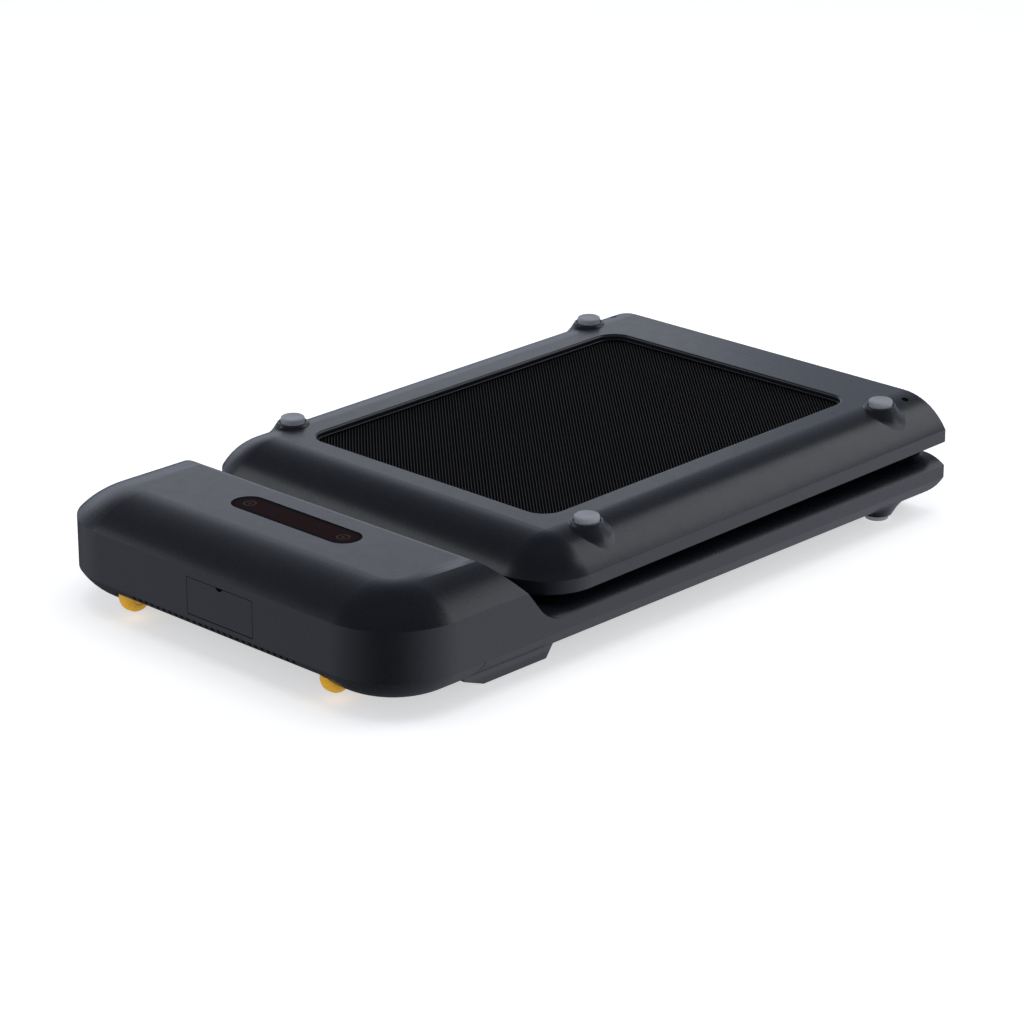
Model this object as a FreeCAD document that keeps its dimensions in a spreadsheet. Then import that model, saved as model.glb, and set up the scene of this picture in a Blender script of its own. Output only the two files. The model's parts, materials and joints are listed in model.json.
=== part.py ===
import FreeCAD, Part
import math
import os
import re
from types import SimpleNamespace

from FreeCAD import Placement, Rotation, Vector

# Fold-in-half walking pad, modelled folded: the front half with its console stands on the floor
# and the rear half lies on it upside down. Millimetres, plus Y from the console to the hinge, plus Z up.
# Names: "s" is a distance from the hinge plane along a half, "y" a distance from the front face,
# "low" and "high" are heights above the floor when the pad lies flat.

# Driving sizes
SIZES = {
    # Whole pad
    "shell_width": 510,
    "shell_length": 840,
    "rear_setback": 211,
    "plan_corner": 85,
    "tail_core": 2.5,
    "fold_height": 68.5,
    "fold_tilt": 0.7,
    "hinge_gap": 0.5,
    "overrun": 6,
    "fit_gap": 0.05,
    "seat_gap": 0.3,
    # Section that both halves share
    "base_low": 8.5,
    "lip_low": 41,
    "lip_high": 55,
    "rail_high": 64,
    "crown_inset": 58,
    "rail_round": 28,
    "rail_width": 53.5,
    "cover_wall": 2.5,
    "end_wall_high": 29,
    # Window in each underside cover
    "window_margin": 79.6,
    "window_near_s": 64.6,
    "window_far_margin": 80.3,
    "window_corner": 26,
    "window_bead": 3,
    "window_bead_depth": 4,
    # Feet, skids and cover screws
    "foot_inset": 41.2,
    "foot_near_s": 63.5,
    "foot_far_inset": 99.4,
    "foot_radius": 13,
    "foot_edge": 1.6,
    "boss_low": 6.2,
    "boss_radius": 16.5,
    "boss_base_radius": 26,
    "boss_depth": 20,
    "recess_radius": 14.3,
    "recess_depth": 3.5,
    "skid_y": 126,
    "skid_length": 126,
    "skid_lead": 27,
    "skid_trail": 11,
    "skid_nose": 10,
    "skid_tail": 15,
    "skid_inset": 55,
    "skid_width": 24,
    "skid_corner": 3,
    "screw_inset": 40.9,
    "screw_s": 21,
    "screw_head_radius": 3.6,
    "screw_head_depth": 3,
    "screw_hole_radius": 4,
    "screw_shank_radius": 2,
    "screw_seat_high": 16,
    "screw_post_radius": 7,
    "screw_reach": 2,
    # Console housing
    "console_high": 121.5,
    "seam_high": 94,
    "console_inset": 66,
    "slope_y": 161.5,
    "slope_angle": 52,
    "slope_round": 12,
    "slope_foot_round": 45,
    "belt_slot_gap": 1,
    "arch_high": 33,
    "arch_inset": 105,
    "arch_foot_inset": 77,
    "belly_length": 124,
    "cover_start_y": 125,
    "vent_pitch": 9,
    "vent_width": 4.5,
    "vent_height": 4,
    "vent_reach": 18,
    "vent_half_span": 118,
    # Display
    "lens_y": 116,
    "lens_half": 87,
    "lens_radius": 18,
    "lens_sink": 0.4,
    "lens_gap": 0.4,
    "board_margin": 5,
    "board_thick": 1.6,
    # Hatch, inlet and rocker
    "hatch_x": 14,
    "hatch_half": 47.2,
    "hatch_low": 46.4,
    "hatch_high": 84.6,
    "hatch_gap": 0.6,
    "hatch_axis_y": 4,
    "hatch_axis_rise": 3.4,
    "hatch_pin_radius": 1.5,
    "knuckle_width": 4,
    "notch_radius": 5.7,
    "notch_depth": 3,
    "inlet_wall": 2,
    "inlet_side": 1.6,
    "inlet_rise": 3.3,
    "inlet_depth": 32,
    "module_plate_thick": 2,
    "module_width": 72,
    "module_height": 28,
    "module_body_depth": 18,
    "module_margin": 2,
    "socket_x": -6,
    "socket_width": 25,
    "socket_height": 17,
    "socket_depth": 14,
    "blade_width": 2,
    "blade_height": 6,
    "blade_pitch": 7,
    "blade_length": 10,
    "rocker_x": 38,
    "rocker_width": 12,
    "rocker_height": 20,
    "rocker_depth": 9,
    "rocker_gap": 1.2,
    "rocker_angle": 8,
    "rocker_proud": 4,
    "rocker_pin_radius": 1.5,
    "rocker_pin_reach": 1,
    # Transport wheels
    "wheel_inset": 107,
    "wheel_y": 30,
    "wheel_low": 7.7,
    "wheel_radius": 19,
    "wheel_width": 17,
    "wheel_round": 6,
    "wheel_axle_radius": 4,
    "wheel_gap": 1,
    "wheel_ear": 4,
    "wheel_ear_radius": 7,
    "wheel_well_gap": 3,
    # Walking belt and its rollers
    "belt_side_gap": 1.5,
    "belt_thick": 1.8,
    "belt_high": 62.2,
    "belt_low": 17,
    "belt_end_s": 28.5,
    "turn_s": 27,
    "turn_reach": 23,
    "roller_reach": 1.5,
    "drive_y": 185,
    "tail_inset": 49,
    "guide_radius": 9,
    "guide_axle_radius": 4,
    "guide_side_gap": 0.5,
    "fold_roller_s": 31,
    "snub_roller_s": 51.5,
    # Deck and frame
    "deck_reach": 0.5,
    "deck_thick": 12,
    "deck_roller_gap": 6,
    "tube_side_gap": 3.5,
    "tube_width": 20,
    "tube_low": 30,
    "tube_high": 60,
    "tube_wall": 2,
    "tube_near_s": 16,
    "tube_front_y": 215,
    "tube_tail_inset": 39,
    "tube_cap": 4,
    "cross_near_s": 150,
    "cross_far_inset": 179,
    "cross_width": 30,
    "cross_low": 32,
    "cross_high": 44,
    "damper_inset": 105,
    "damper_width": 30,
    # Hinge
    "pin_radius": 4,
    "ear_radius": 7,
    "cheek": 4,
    "cheek_gap": 0.5,
    "hinge_block_s": 20,
    "hinge_block_length": 70,
    "hinge_arm_low": 44,
    "hinge_post": 9,
    "notch_side": 1,
    # Drive
    "drive_shaft_radius": 7.5,
    "drive_shaft_inset": 17,
    "bearing_radius": 13,
    "bearing_width": 10,
    "block_width": 14,
    "block_y": 165,
    "block_length": 75,
    "block_high": 57,
    "pulley_inset": 40,
    "pulley_width": 12,
    "pulley_flange": 1.5,
    "drive_pulley_radius": 18,
    "motor_pulley_radius": 10,
    "ribbed_belt_width": 8,
    "ribbed_belt_thick": 2.5,
    "motor_y": 92,
    "motor_high": 67,
    "motor_radius": 30,
    "motor_wall": 3,
    "motor_inset": 75,
    "motor_length": 140,
    "rotor_radius": 22,
    "rotor_end_gap": 6,
    "motor_shaft_radius": 6,
    "saddle_width": 40,
    "saddle_length": 80,
    "saddle_high": 52,
    # Controller
    "controller_x": 30,
    "controller_y": 45,
    "controller_width": 95,
    "controller_length": 90,
    "spacer_height": 6,
    "spacer_radius": 3,
    "spacer_margin": 6,
    "sink_width": 60,
    "sink_length": 60,
    "sink_base": 4,
    "sink_height": 22,
    "fin_thick": 2,
    "fin_pitch": 7.25,
    # Tail
    "tail_axle_radius": 6,
    "tail_bearing_radius": 15,
    "tail_bearing_width": 11,
    "tail_cover_inset": 23,
    "tail_step_inset": 46,
    "tail_step_high": 55,
    "bolt_radius": 4,
    "bolt_length": 8,
    "bolt_head_radius": 6,
    "bolt_head": 5,
    # Fold bumpers
    "bumper_inset": 129,
    "bumper_radius": 8,
}

# Sizes that follow from them
g = SimpleNamespace(**SIZES)
half_width = g.shell_width / 2
rail_inner = half_width - g.rail_width
rear_length = g.shell_length - g.rear_setback
front_y = -(g.shell_length + g.ear_radius) / 2
slope = math.radians(g.slope_angle)
WORKED = {
    "half_width": half_width,
    "front_y": front_y,
    # Across the pad
    "rail_inner": rail_inner,
    "belt_half": rail_inner - g.belt_side_gap,
    "guide_half": rail_inner - g.guide_side_gap,
    "deck_half": rail_inner + g.deck_reach,
    "roller_half": rail_inner + g.roller_reach,
    "tube_inner": rail_inner + g.tube_side_gap,
    "window_half": half_width - g.window_margin,
    "foot_x": half_width - g.foot_inset,
    "screw_x": half_width - g.screw_inset,
    "skid_inner": half_width - g.skid_inset,
    "arch_half": half_width - g.arch_inset,
    "arch_foot": half_width - g.arch_foot_inset,
    "wheel_x": half_width - g.wheel_inset,
    "damper_x": half_width - g.damper_inset,
    "drive_shaft_half": half_width - g.drive_shaft_inset,
    "pulley_x": half_width - g.pulley_inset,
    "motor_left": half_width - g.motor_inset,
    # Along the pad
    "rear_length": rear_length,
    "tail_corner": g.crown_inset + g.tail_core,
    "window_far_s": rear_length - g.window_far_margin,
    "foot_far_s": rear_length - g.foot_far_inset,
    "cross_far_s": rear_length - g.cross_far_inset,
    "tail_s": rear_length - g.tail_inset,
    "tube_tail_s": rear_length - g.tube_tail_inset,
    "tail_step_s": rear_length - g.tail_step_inset,
    "tail_cover_s": rear_length - g.tail_cover_inset,
    "bumper_s": rear_length - g.bumper_inset,
    "drive_s": g.shell_length - g.drive_y,
    "console_end": front_y
    + g.slope_y
    + (g.console_high - g.lip_high) / math.tan(slope)
    + g.slope_foot_round * math.tan(slope / 2),
    # Upwards
    "roller_radius": (g.belt_high - g.belt_low) / 2 - g.belt_thick - g.seat_gap,
    "roller_high": (g.belt_high + g.belt_low) / 2,
    "deck_high": g.belt_high - g.belt_thick,
    "floor_high": g.arch_high + g.cover_wall,
    "crown_drop": g.lip_low - g.base_low,
    "console_rise": g.console_high - g.seam_high,
    "fold_roller_high": g.fold_height - g.turn_reach - g.belt_thick / 2 - g.seat_gap - g.guide_radius,
    "snub_roller_high": g.belt_low + g.belt_thick + g.seat_gap + g.guide_radius,
    "wheel_high": g.wheel_low + g.wheel_radius,
    "hatch_axis_high": g.hatch_low + g.hatch_axis_rise,
    "hatch_sweep": math.hypot(g.hatch_axis_y, g.hatch_axis_rise),
    "bumper_height": 2 * (g.fold_height - g.rail_high)
    - (rear_length - g.bumper_inset) * math.sin(math.radians(g.fold_tilt))
    - g.seat_gap,
}

os.makedirs("parts", exist_ok=True)
doc = FreeCAD.newDocument("walking_pad")
sheet = doc.addObject("Spreadsheet::Sheet", "Sizes")
for row, (alias, value) in enumerate({**SIZES, **WORKED}.items(), start=1):
    sheet.set(f"A{row}", alias)
    sheet.set(f"B{row}", str(value))
    sheet.setAlias(f"B{row}", alias)
doc.recompute()
v = SimpleNamespace(**{alias: float(sheet.get(alias)) for alias in {**SIZES, **WORKED}})

HINGE_Y = v.front_y + v.shell_length
SIDES = (-1, 1)
FRONT, REAR = -1, 1
HALVES = {FRONT: "front", REAR: "rear"}
ALONG_X = Rotation(Vector(0, 0, 1), Vector(1, 0, 0))
ALONG_Y = Rotation(Vector(0, 0, 1), Vector(0, 1, 0))
UPRIGHT = Rotation()
# Turns a rear piece from the flat pad to its folded place
FOLD = Placement(
    Vector(0, 0, 0), Rotation(Vector(1, 0, 0), 180 + v.fold_tilt), Vector(0, HINGE_Y, v.fold_height)
)
PARTS = []


# Helpers that make document objects
def bind(item, prop, text):
    """Drive a property by an expression on the sheet's aliases."""
    item.setExpression(prop, re.sub(r"[a-z_]+", lambda match: "Sizes." + match.group(0), text))


def block(name, sizes, corner):
    item = doc.addObject("Part::Box", name)
    for prop, text in zip(("Length", "Width", "Height"), sizes):
        bind(item, prop, text)
    item.Placement = Placement(Vector(*corner), UPRIGHT)
    return item


def rod(name, radius, length, base, turn=UPRIGHT):
    item = doc.addObject("Part::Cylinder", name)
    bind(item, "Radius", radius)
    bind(item, "Height", length)
    item.Placement = Placement(Vector(*base), turn)
    return item


def fuse(name, *items):
    item = doc.addObject("Part::MultiFuse", name)
    item.Shapes = list(items)
    item.Refine = True
    return item


def common(name, *items):
    item = doc.addObject("Part::MultiCommon", name)
    item.Shapes = list(items)
    return item


def cut(name, base, *tools):
    item = doc.addObject("Part::Cut", name)
    item.Base = base
    item.Tool = tools[0] if len(tools) == 1 else fuse(name + "_cuts", *tools)
    return item


def group(name, items):
    item = doc.addObject("Part::Compound", name)
    item.Links = list(items)
    return item


def part(item, folded=False):
    """Keep a finished sub-part, turned over when it belongs to the rear half."""
    if folded:
        item.Placement = FOLD.multiply(item.Placement)
    PARTS.append(item)
    return item


def low_x(side, inner, width):
    """Lowest X of a piece that starts at inner on one side of the pad."""
    return inner if side > 0 else -inner - width


def low_y(half, s, length):
    """Lowest Y of a piece that starts a distance s from the hinge plane and runs away from it."""
    return HINGE_Y + s if half == REAR else HINGE_Y - s - length


def at_s(half, s):
    return HINGE_Y + half * s


def from_front(y):
    return v.front_y + y


def side_word(side):
    return "right" if side > 0 else "left"


def sketch(body, name, plane, level, edges):
    item = body.newObject("Sketcher::SketchObject", name)
    support = next(feature for feature in body.Origin.OriginFeatures if feature.Role == plane)
    item.AttachmentSupport = [(support, "")]
    item.MapMode = "FlatFace"
    item.AttachmentOffset = Placement(Vector(0, 0, -level if plane == "XZ_Plane" else level), UPRIGHT)
    item.addGeometry(edges, False)
    return item


def pad(body, name, plane, level, edges, depth, down=False):
    """Pad an outline towards plus X, Y or Z, or the other way when down is set."""
    outline = sketch(body, name + "_outline", plane, level, edges)
    item = body.newObject("PartDesign::Pad", name)
    item.Profile = outline
    item.Reversed = (plane == "XZ_Plane") != down
    bind(item, "Length", depth)
    return item


def padded(name, plane, level, edges, depth):
    body = doc.addObject("PartDesign::Body", name)
    pad(body, name + "_pad", plane, level, edges, depth)
    return body


def turned(name, edges, place):
    """Solid turned about its own Z from an outline of (radius, height) points."""
    body = doc.addObject("PartDesign::Body", name)
    outline = sketch(body, name + "_outline", "XZ_Plane", 0, edges)
    item = body.newObject("PartDesign::Revolution", name + "_turn")
    item.Profile = outline
    item.ReferenceAxis = (outline, ["V_Axis"])
    item.Angle = 360
    body.Placement = place
    return body


# Helpers that draw outlines
def line(start, end):
    return Part.LineSegment(Vector(*start, 0), Vector(*end, 0))


def bow(start, middle, end):
    return Part.Arc(Vector(*start, 0), Vector(*middle, 0), Vector(*end, 0))


def lines(*points):
    return [line(start, end) for start, end in zip(points, points[1:]) if start != end]


def crown_points(inset, drop, wall):
    """Middle and end of the arc that leaves a level top and falls by drop over inset, moved in by wall.

    Each is (out, down) from where the arc starts."""
    radius = (inset**2 + drop**2) / (2 * drop) - wall
    lean = math.asin((inset - wall) / radius)
    return [(radius * math.sin(turn), radius * (1 - math.cos(turn))) for turn in (lean / 2, lean)]


def rounded(*corners):
    """Closed outline through (u, v, radius) corners."""
    points = [Vector(u, w, 0) for u, w, radius in corners]
    rounds = []
    for index, here in enumerate(points):
        radius = corners[index][2]
        back = (points[index - 1] - here).normalize()
        ahead = (points[(index + 1) % len(points)] - here).normalize()
        half = back.getAngle(ahead) / 2
        reach = radius / math.tan(half)
        inward = (back + ahead).normalize() * (radius / math.sin(half) - radius)
        rounds.append((here + back * reach, here + inward, here + ahead * reach, radius))
    edges = []
    for index, (first, middle, last, radius) in enumerate(rounds):
        if radius > 0:
            edges.append(Part.Arc(first, middle, last))
        following = rounds[(index + 1) % len(rounds)][0]
        edges.append(Part.LineSegment(last, following))
    return edges


def tangent_run(first, second, shift):
    """Straight run between two (u, v, signed radius) pulleys; a left-hand pulley has a plus radius."""
    du, dv = second[0] - first[0], second[1] - first[1]
    angle = math.atan2(dv, du) - math.asin((second[2] - first[2]) / math.hypot(du, dv))
    left = Vector(-math.sin(angle), math.cos(angle), 0)
    return [Vector(u, w, 0) - left * (radius - shift) for u, w, radius in (first, second)]


def pulley_arc(centre, start, end, radius):
    """Arc about a pulley from start to end, turning left for a plus radius."""
    middle = Vector(*centre, 0)
    spoke = start - middle
    first = math.atan2(spoke.y, spoke.x)
    swept = math.atan2((end - middle).y, (end - middle).x) - first
    swept = swept % (2 * math.pi) if radius > 0 else -(-swept % (2 * math.pi))
    halfway = first + swept / 2
    return Part.Arc(start, middle + Vector(math.cos(halfway), math.sin(halfway), 0) * spoke.Length, end)


def belt_side(pulleys, shift):
    """One face of a belt that runs from the first pulley to the last, moved left by shift."""
    runs = [tangent_run(a, b, shift) for a, b in zip(pulleys, pulleys[1:])]
    edges = [Part.LineSegment(*runs[0])]
    for pulley, before, after in zip(pulleys[1:], runs, runs[1:]):
        edges.append(pulley_arc(pulley[:2], before[1], after[0], pulley[2]))
        edges.append(Part.LineSegment(*after))
    return edges, runs[0][0], runs[-1][1]


def ribbon(pulleys, thick):
    """Closed outline of an open belt of even thickness."""
    left, left_start, left_end = belt_side(pulleys, thick / 2)
    right, right_start, right_end = belt_side(pulleys, -thick / 2)
    caps = [Part.LineSegment(left_start, right_start), Part.LineSegment(left_end, right_end)]
    return left + right + caps


def belt_loop(pulleys, shift):
    """One face of a closed belt round left-hand pulleys."""
    ring = [*pulleys, pulleys[0]]
    runs = [tangent_run(a, b, shift) for a, b in zip(ring, ring[1:])]
    edges = []
    for pulley, before, after in zip(ring[1:], runs, [*runs[1:], runs[0]]):
        edges.append(Part.LineSegment(*before))
        edges.append(pulley_arc(pulley[:2], before[1], after[0], pulley[2]))
    return edges


# Shapes that several covers share
def crowned(name, start, end, wall, corner, inset, drop, base, skirt, depth):
    """Solid with a rounded end and an arched crown round its edge; a minus drop crowns downwards.

    It runs along Y from start to end, whose corners are rounded in plan, stands on the height base
    and is smaller all round by wall.
    The skirt carries its side walls past the base, and depth is the text that drives its height."""
    heading = 1 if end > start else -1
    way = 1 if drop > 0 else -1
    half = v.half_width - wall
    across = inset - wall
    tip = end - heading * wall
    foot = base - way * skirt
    body = doc.addObject("PartDesign::Body", name)

    def lap(inside):
        """Path from the right side round the end to the left side, inside the edge by a distance."""
        reach, radius, far = half - inside, corner - wall - inside, tip - heading * inside
        nip = radius * (1 - math.sqrt(0.5))
        turn = far - heading * radius
        right = [(reach, start), (reach, turn), (reach - nip, far - heading * nip), (reach - radius, far)]
        left = [(-x, y) for x, y in right]
        return [
            line(right[0], right[1]),
            bow(right[1], right[2], right[3]),
            line(right[3], left[3]),
            bow(left[3], left[2], left[1]),
            line(left[1], left[0]),
        ]

    path = sketch(body, name + "_path", "XY_Plane", base, lap(0))
    edge_x = half - across
    top = base + drop - way * wall
    (mid_out, mid_down), (_, end_down) = crown_points(inset, abs(drop), wall)
    edge = top - way * end_down
    crown = bow((half, edge), (edge_x + mid_out, top - way * mid_down), (edge_x, top))
    profile = lines((edge_x, top), (edge_x, foot), (half, foot), (half, edge))
    section = sketch(body, name + "_section", "XZ_Plane", start, [*profile, crown])
    sweep = body.newObject("PartDesign::AdditivePipe", name + "_crown")
    sweep.Profile = section
    sweep.Spine = (path, [f"Edge{index}" for index in range(1, 6)])
    sweep.Mode = "Standard"
    middle = [*lap(across), line((across - half, start), (half - across, start))]
    pad(body, name + "_middle", "XY_Plane", foot, middle, depth, down=way < 0)
    return body


def console_slope(name, wall):
    """Solid under the console's top and back slope, as wide as the pad, smaller by wall."""
    angle = math.radians(v.slope_angle)
    top = v.console_high - wall
    foot = v.lip_high - wall
    crest_y = v.front_y + v.slope_y - wall / math.sin(angle) + wall / math.tan(angle)
    foot_y = crest_y + (top - foot) / math.tan(angle)
    end_y = v.console_end + v.overrun
    low = v.lip_low - v.overrun
    outline = rounded(
        (v.front_y - v.overrun, low, 0),
        (v.front_y - v.overrun, top, 0),
        (crest_y, top, v.slope_round - wall),
        (foot_y, foot, v.slope_foot_round + wall),
        (end_y + v.slope_foot_round, foot, 0),
        (end_y + v.slope_foot_round, low, 0),
    )
    return padded(name, "YZ_Plane", -v.half_width - v.overrun, outline, "shell_width + 2 * overrun")


def rail_outline(side, wall):
    """Section of a side rail's outside, or of the hollow that leaves it a skin as thick as wall."""
    past = v.overrun if wall > 0 else 0
    crest_x = v.half_width - v.rail_round
    inner_x, outer_x = v.rail_inner - past, v.half_width - wall
    crest, low = v.rail_high - wall, v.lip_low - past
    (mid_out, mid_down), (_, end_down) = crown_points(v.rail_round, v.rail_high - v.lip_high, wall)
    halfway = (side * (crest_x + mid_out), crest - mid_down)
    edge = (side * outer_x, crest - end_down)
    top = (side * crest_x, crest)
    foot = (side * outer_x, low)
    return [
        *lines(edge, foot, (side * inner_x, low), (side * inner_x, crest), top),
        bow(top, halfway, edge),
    ]


def capsule(name, radius, half, height, centre):
    """Upright plate with half-round ends, half long from its centre to each end."""
    x, y, z = centre
    reach = half - radius
    outline = [
        line((x - reach, y - radius), (x + reach, y - radius)),
        Part.Arc(Vector(x + reach, y - radius, 0), Vector(x + half, y, 0), Vector(x + reach, y + radius, 0)),
        line((x + reach, y + radius), (x - reach, y + radius)),
        Part.Arc(Vector(x - reach, y + radius, 0), Vector(x - half, y, 0), Vector(x - reach, y - radius, 0)),
    ]
    return padded(name, "XY_Plane", z, outline, height)


# Console housing
def console_top_cover():
    start = v.console_end
    rise = v.console_rise
    outer = crowned(
        "console_crown",
        start,
        v.front_y,
        0,
        v.plan_corner,
        v.console_inset,
        rise,
        v.seam_high,
        0,
        "console_rise",
    )
    inner = crowned(
        "console_crown_inner",
        start,
        v.front_y,
        v.cover_wall,
        v.plan_corner,
        v.console_inset,
        rise,
        v.seam_high,
        v.overrun,
        "console_rise - cover_wall + overrun",
    )
    skin = common("console_top_skin", outer, console_slope("console_top_slope", 0))
    hollow = common("console_top_hollow", inner, console_slope("console_top_slope_inner", v.cover_wall))
    window = capsule(
        "lens_opening",
        v.lens_radius + v.lens_gap,
        v.lens_half + v.lens_gap,
        "cover_wall + 2 * overrun",
        (0, v.front_y + v.lens_y, v.console_high - v.cover_wall - v.overrun),
    )
    part(cut("console_top_cover", skin, hollow, window))


def console_prism(name, wall, low, height):
    """Upright walls of the console in plan, smaller by wall."""
    half = v.half_width - wall
    corner = v.plan_corner - wall
    front = v.front_y + wall
    outline = rounded(
        (-half, v.console_end, 0),
        (-half, front, corner),
        (half, front, corner),
        (half, v.console_end, 0),
    )
    return padded(name, "XY_Plane", low, outline, height)


def console_shell():
    stub_start = v.front_y + v.slope_y
    span = "console_end - front_y - slope_y"
    walls = console_prism("console_walls", 0, v.lip_low, "seam_high - lip_low")
    hollow = console_prism(
        "console_hollow", v.cover_wall, v.lip_low - v.overrun, "seam_high - lip_low + 2 * overrun"
    )
    skin = [common("console_skin", walls, console_slope("console_slope", 0))]
    inside = [common("console_inside", hollow, console_slope("console_slope_inner", v.cover_wall))]
    for side in SIDES:
        word = side_word(side)
        skin.append(padded(f"stub_{word}", "XZ_Plane", stub_start, rail_outline(side, 0), span))
        hollow_outline = rail_outline(side, v.cover_wall)
        hollow_span = span + " + overrun"
        inside.append(padded(f"stub_hollow_{word}", "XZ_Plane", stub_start, hollow_outline, hollow_span))
    inside.append(
        block(
            "belt_slot",
            ("2 * rail_inner", span + " + overrun", "belt_high + belt_slot_gap - lip_low + overrun"),
            (-v.rail_inner, stub_start, v.lip_low - v.overrun),
        )
    )
    opening = block(
        "hatch_opening",
        (
            "2 * (hatch_half + hatch_gap)",
            "cover_wall + 2 * overrun",
            "hatch_high - hatch_low + 2 * hatch_gap",
        ),
        (v.hatch_x - v.hatch_half - v.hatch_gap, v.front_y - v.overrun, v.hatch_low - v.hatch_gap),
    )
    scoop = rod(
        "hatch_scoop",
        "hatch_sweep + hatch_gap",
        "2 * (hatch_half + hatch_gap)",
        (v.hatch_x - v.hatch_half - v.hatch_gap, v.front_y + v.hatch_axis_y, v.hatch_axis_high),
        ALONG_X,
    )
    part(cut("console_shell", fuse("console_outside", *skin), *inside, opening, scoop))


def belly_arch(name, lift):
    """Prism that raises the middle of the belly's floor, moved up by lift."""
    low, high = v.base_low + lift, v.arch_high + lift
    base = low - v.overrun
    outline = lines(
        (-v.arch_foot, base),
        (v.arch_foot, base),
        (v.arch_foot, low),
        (v.arch_half, high),
        (-v.arch_half, high),
        (-v.arch_foot, low),
        (-v.arch_foot, base),
    )
    return padded(name, "XZ_Plane", v.front_y - v.overrun, outline, "belly_length + 3 * overrun")


def belly_pan():
    start = from_front(v.belly_length)
    outer = crowned(
        "belly_outside",
        start,
        v.front_y,
        0,
        v.plan_corner,
        v.crown_inset,
        -v.crown_drop,
        v.lip_low,
        0,
        "crown_drop",
    )
    inner = crowned(
        "belly_hollow",
        start + v.overrun,
        v.front_y,
        v.cover_wall,
        v.plan_corner,
        v.crown_inset,
        -v.crown_drop,
        v.lip_low,
        v.overrun,
        "crown_drop - cover_wall + overrun",
    )
    room = cut("belly_room", inner, belly_arch("belly_arch_inside", v.cover_wall))
    pan = cut("belly_skin", cut("belly_arched", outer, belly_arch("belly_arch_outside", 0)), room)
    vents = []
    steps = int(v.vent_half_span // v.vent_pitch)
    for step in range(-steps, steps + 1):
        corner = (step * v.vent_pitch - v.vent_width / 2, v.front_y - v.overrun, v.floor_high)
        vents.append(block(f"vent_{step + steps}", ("vent_width", "vent_reach", "vent_height"), corner))
    wells, ears, bores = [], [], []
    well = v.wheel_width / 2 + v.wheel_gap
    reach = v.wheel_radius + v.wheel_well_gap
    for side in SIDES:
        word = side_word(side)
        middle = side * v.wheel_x
        wells.append(
            block(
                f"wheel_well_{word}",
                (
                    "wheel_width + 2 * wheel_gap",
                    "2 * (wheel_radius + wheel_well_gap)",
                    "crown_drop + overrun",
                ),
                (middle - well, from_front(v.wheel_y) - reach, v.base_low - v.overrun),
            )
        )
        bores.append(
            rod(
                f"wheel_bore_{word}",
                "wheel_axle_radius + fit_gap",
                "wheel_width + 2 * (wheel_gap + wheel_ear + overrun)",
                (middle - well - v.wheel_ear - v.overrun, from_front(v.wheel_y), v.wheel_high),
                ALONG_X,
            )
        )
        for edge in SIDES:
            x = middle + low_x(edge, well, v.wheel_ear)
            name = f"wheel_ear_{word}_{side_word(edge)}"
            plate = block(
                name + "_plate",
                ("wheel_ear", "2 * wheel_ear_radius", "wheel_radius"),
                (x, from_front(v.wheel_y) - v.wheel_ear_radius, v.wheel_high),
            )
            round_end = rod(
                name + "_round",
                "wheel_ear_radius",
                "wheel_ear",
                (x, from_front(v.wheel_y), v.wheel_high),
                ALONG_X,
            )
            ears.append(fuse(name, plate, round_end))
    open_pan = cut("belly_open", pan, *vents, *wells)
    part(cut("belly_pan", fuse("belly_with_ears", open_pan, *ears), *bores))


def display():
    centre_y = from_front(v.lens_y)
    base = v.console_high - v.cover_wall
    part(capsule("display_lens", v.lens_radius, v.lens_half, "cover_wall - lens_sink", (0, centre_y, base)))
    radius = v.lens_radius + v.board_margin
    half = v.lens_half + v.board_margin
    part(capsule("display_board", radius, half, "board_thick", (0, centre_y, base - v.board_thick)))


def hatch():
    plate = block(
        "hatch_plate",
        ("2 * hatch_half", "cover_wall", "hatch_high - hatch_low"),
        (v.hatch_x - v.hatch_half, v.front_y, v.hatch_low),
    )
    notch = rod(
        "hatch_notch",
        "notch_radius",
        "cover_wall + 2 * overrun",
        (v.hatch_x, v.front_y - v.overrun, v.hatch_high + v.notch_radius - v.notch_depth),
        ALONG_Y,
    )
    pieces = [cut("hatch_panel", plate, notch)]
    length = v.knuckle_width + v.inlet_side + v.inlet_wall
    inner = v.hatch_half - v.knuckle_width
    for side in SIDES:
        word = side_word(side)
        pieces.append(
            block(
                f"hatch_knuckle_{word}",
                ("knuckle_width", "hatch_axis_y - cover_wall", "2 * hatch_pin_radius"),
                (
                    v.hatch_x + low_x(side, inner, v.knuckle_width),
                    from_front(v.cover_wall),
                    v.hatch_axis_high - v.hatch_pin_radius,
                ),
            )
        )
        pieces.append(
            rod(
                f"hatch_pin_{word}",
                "hatch_pin_radius",
                "knuckle_width + inlet_side + inlet_wall",
                (v.hatch_x + low_x(side, inner, length), from_front(v.hatch_axis_y), v.hatch_axis_high),
                ALONG_X,
            )
        )
    part(fuse("hatch", *pieces))


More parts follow.
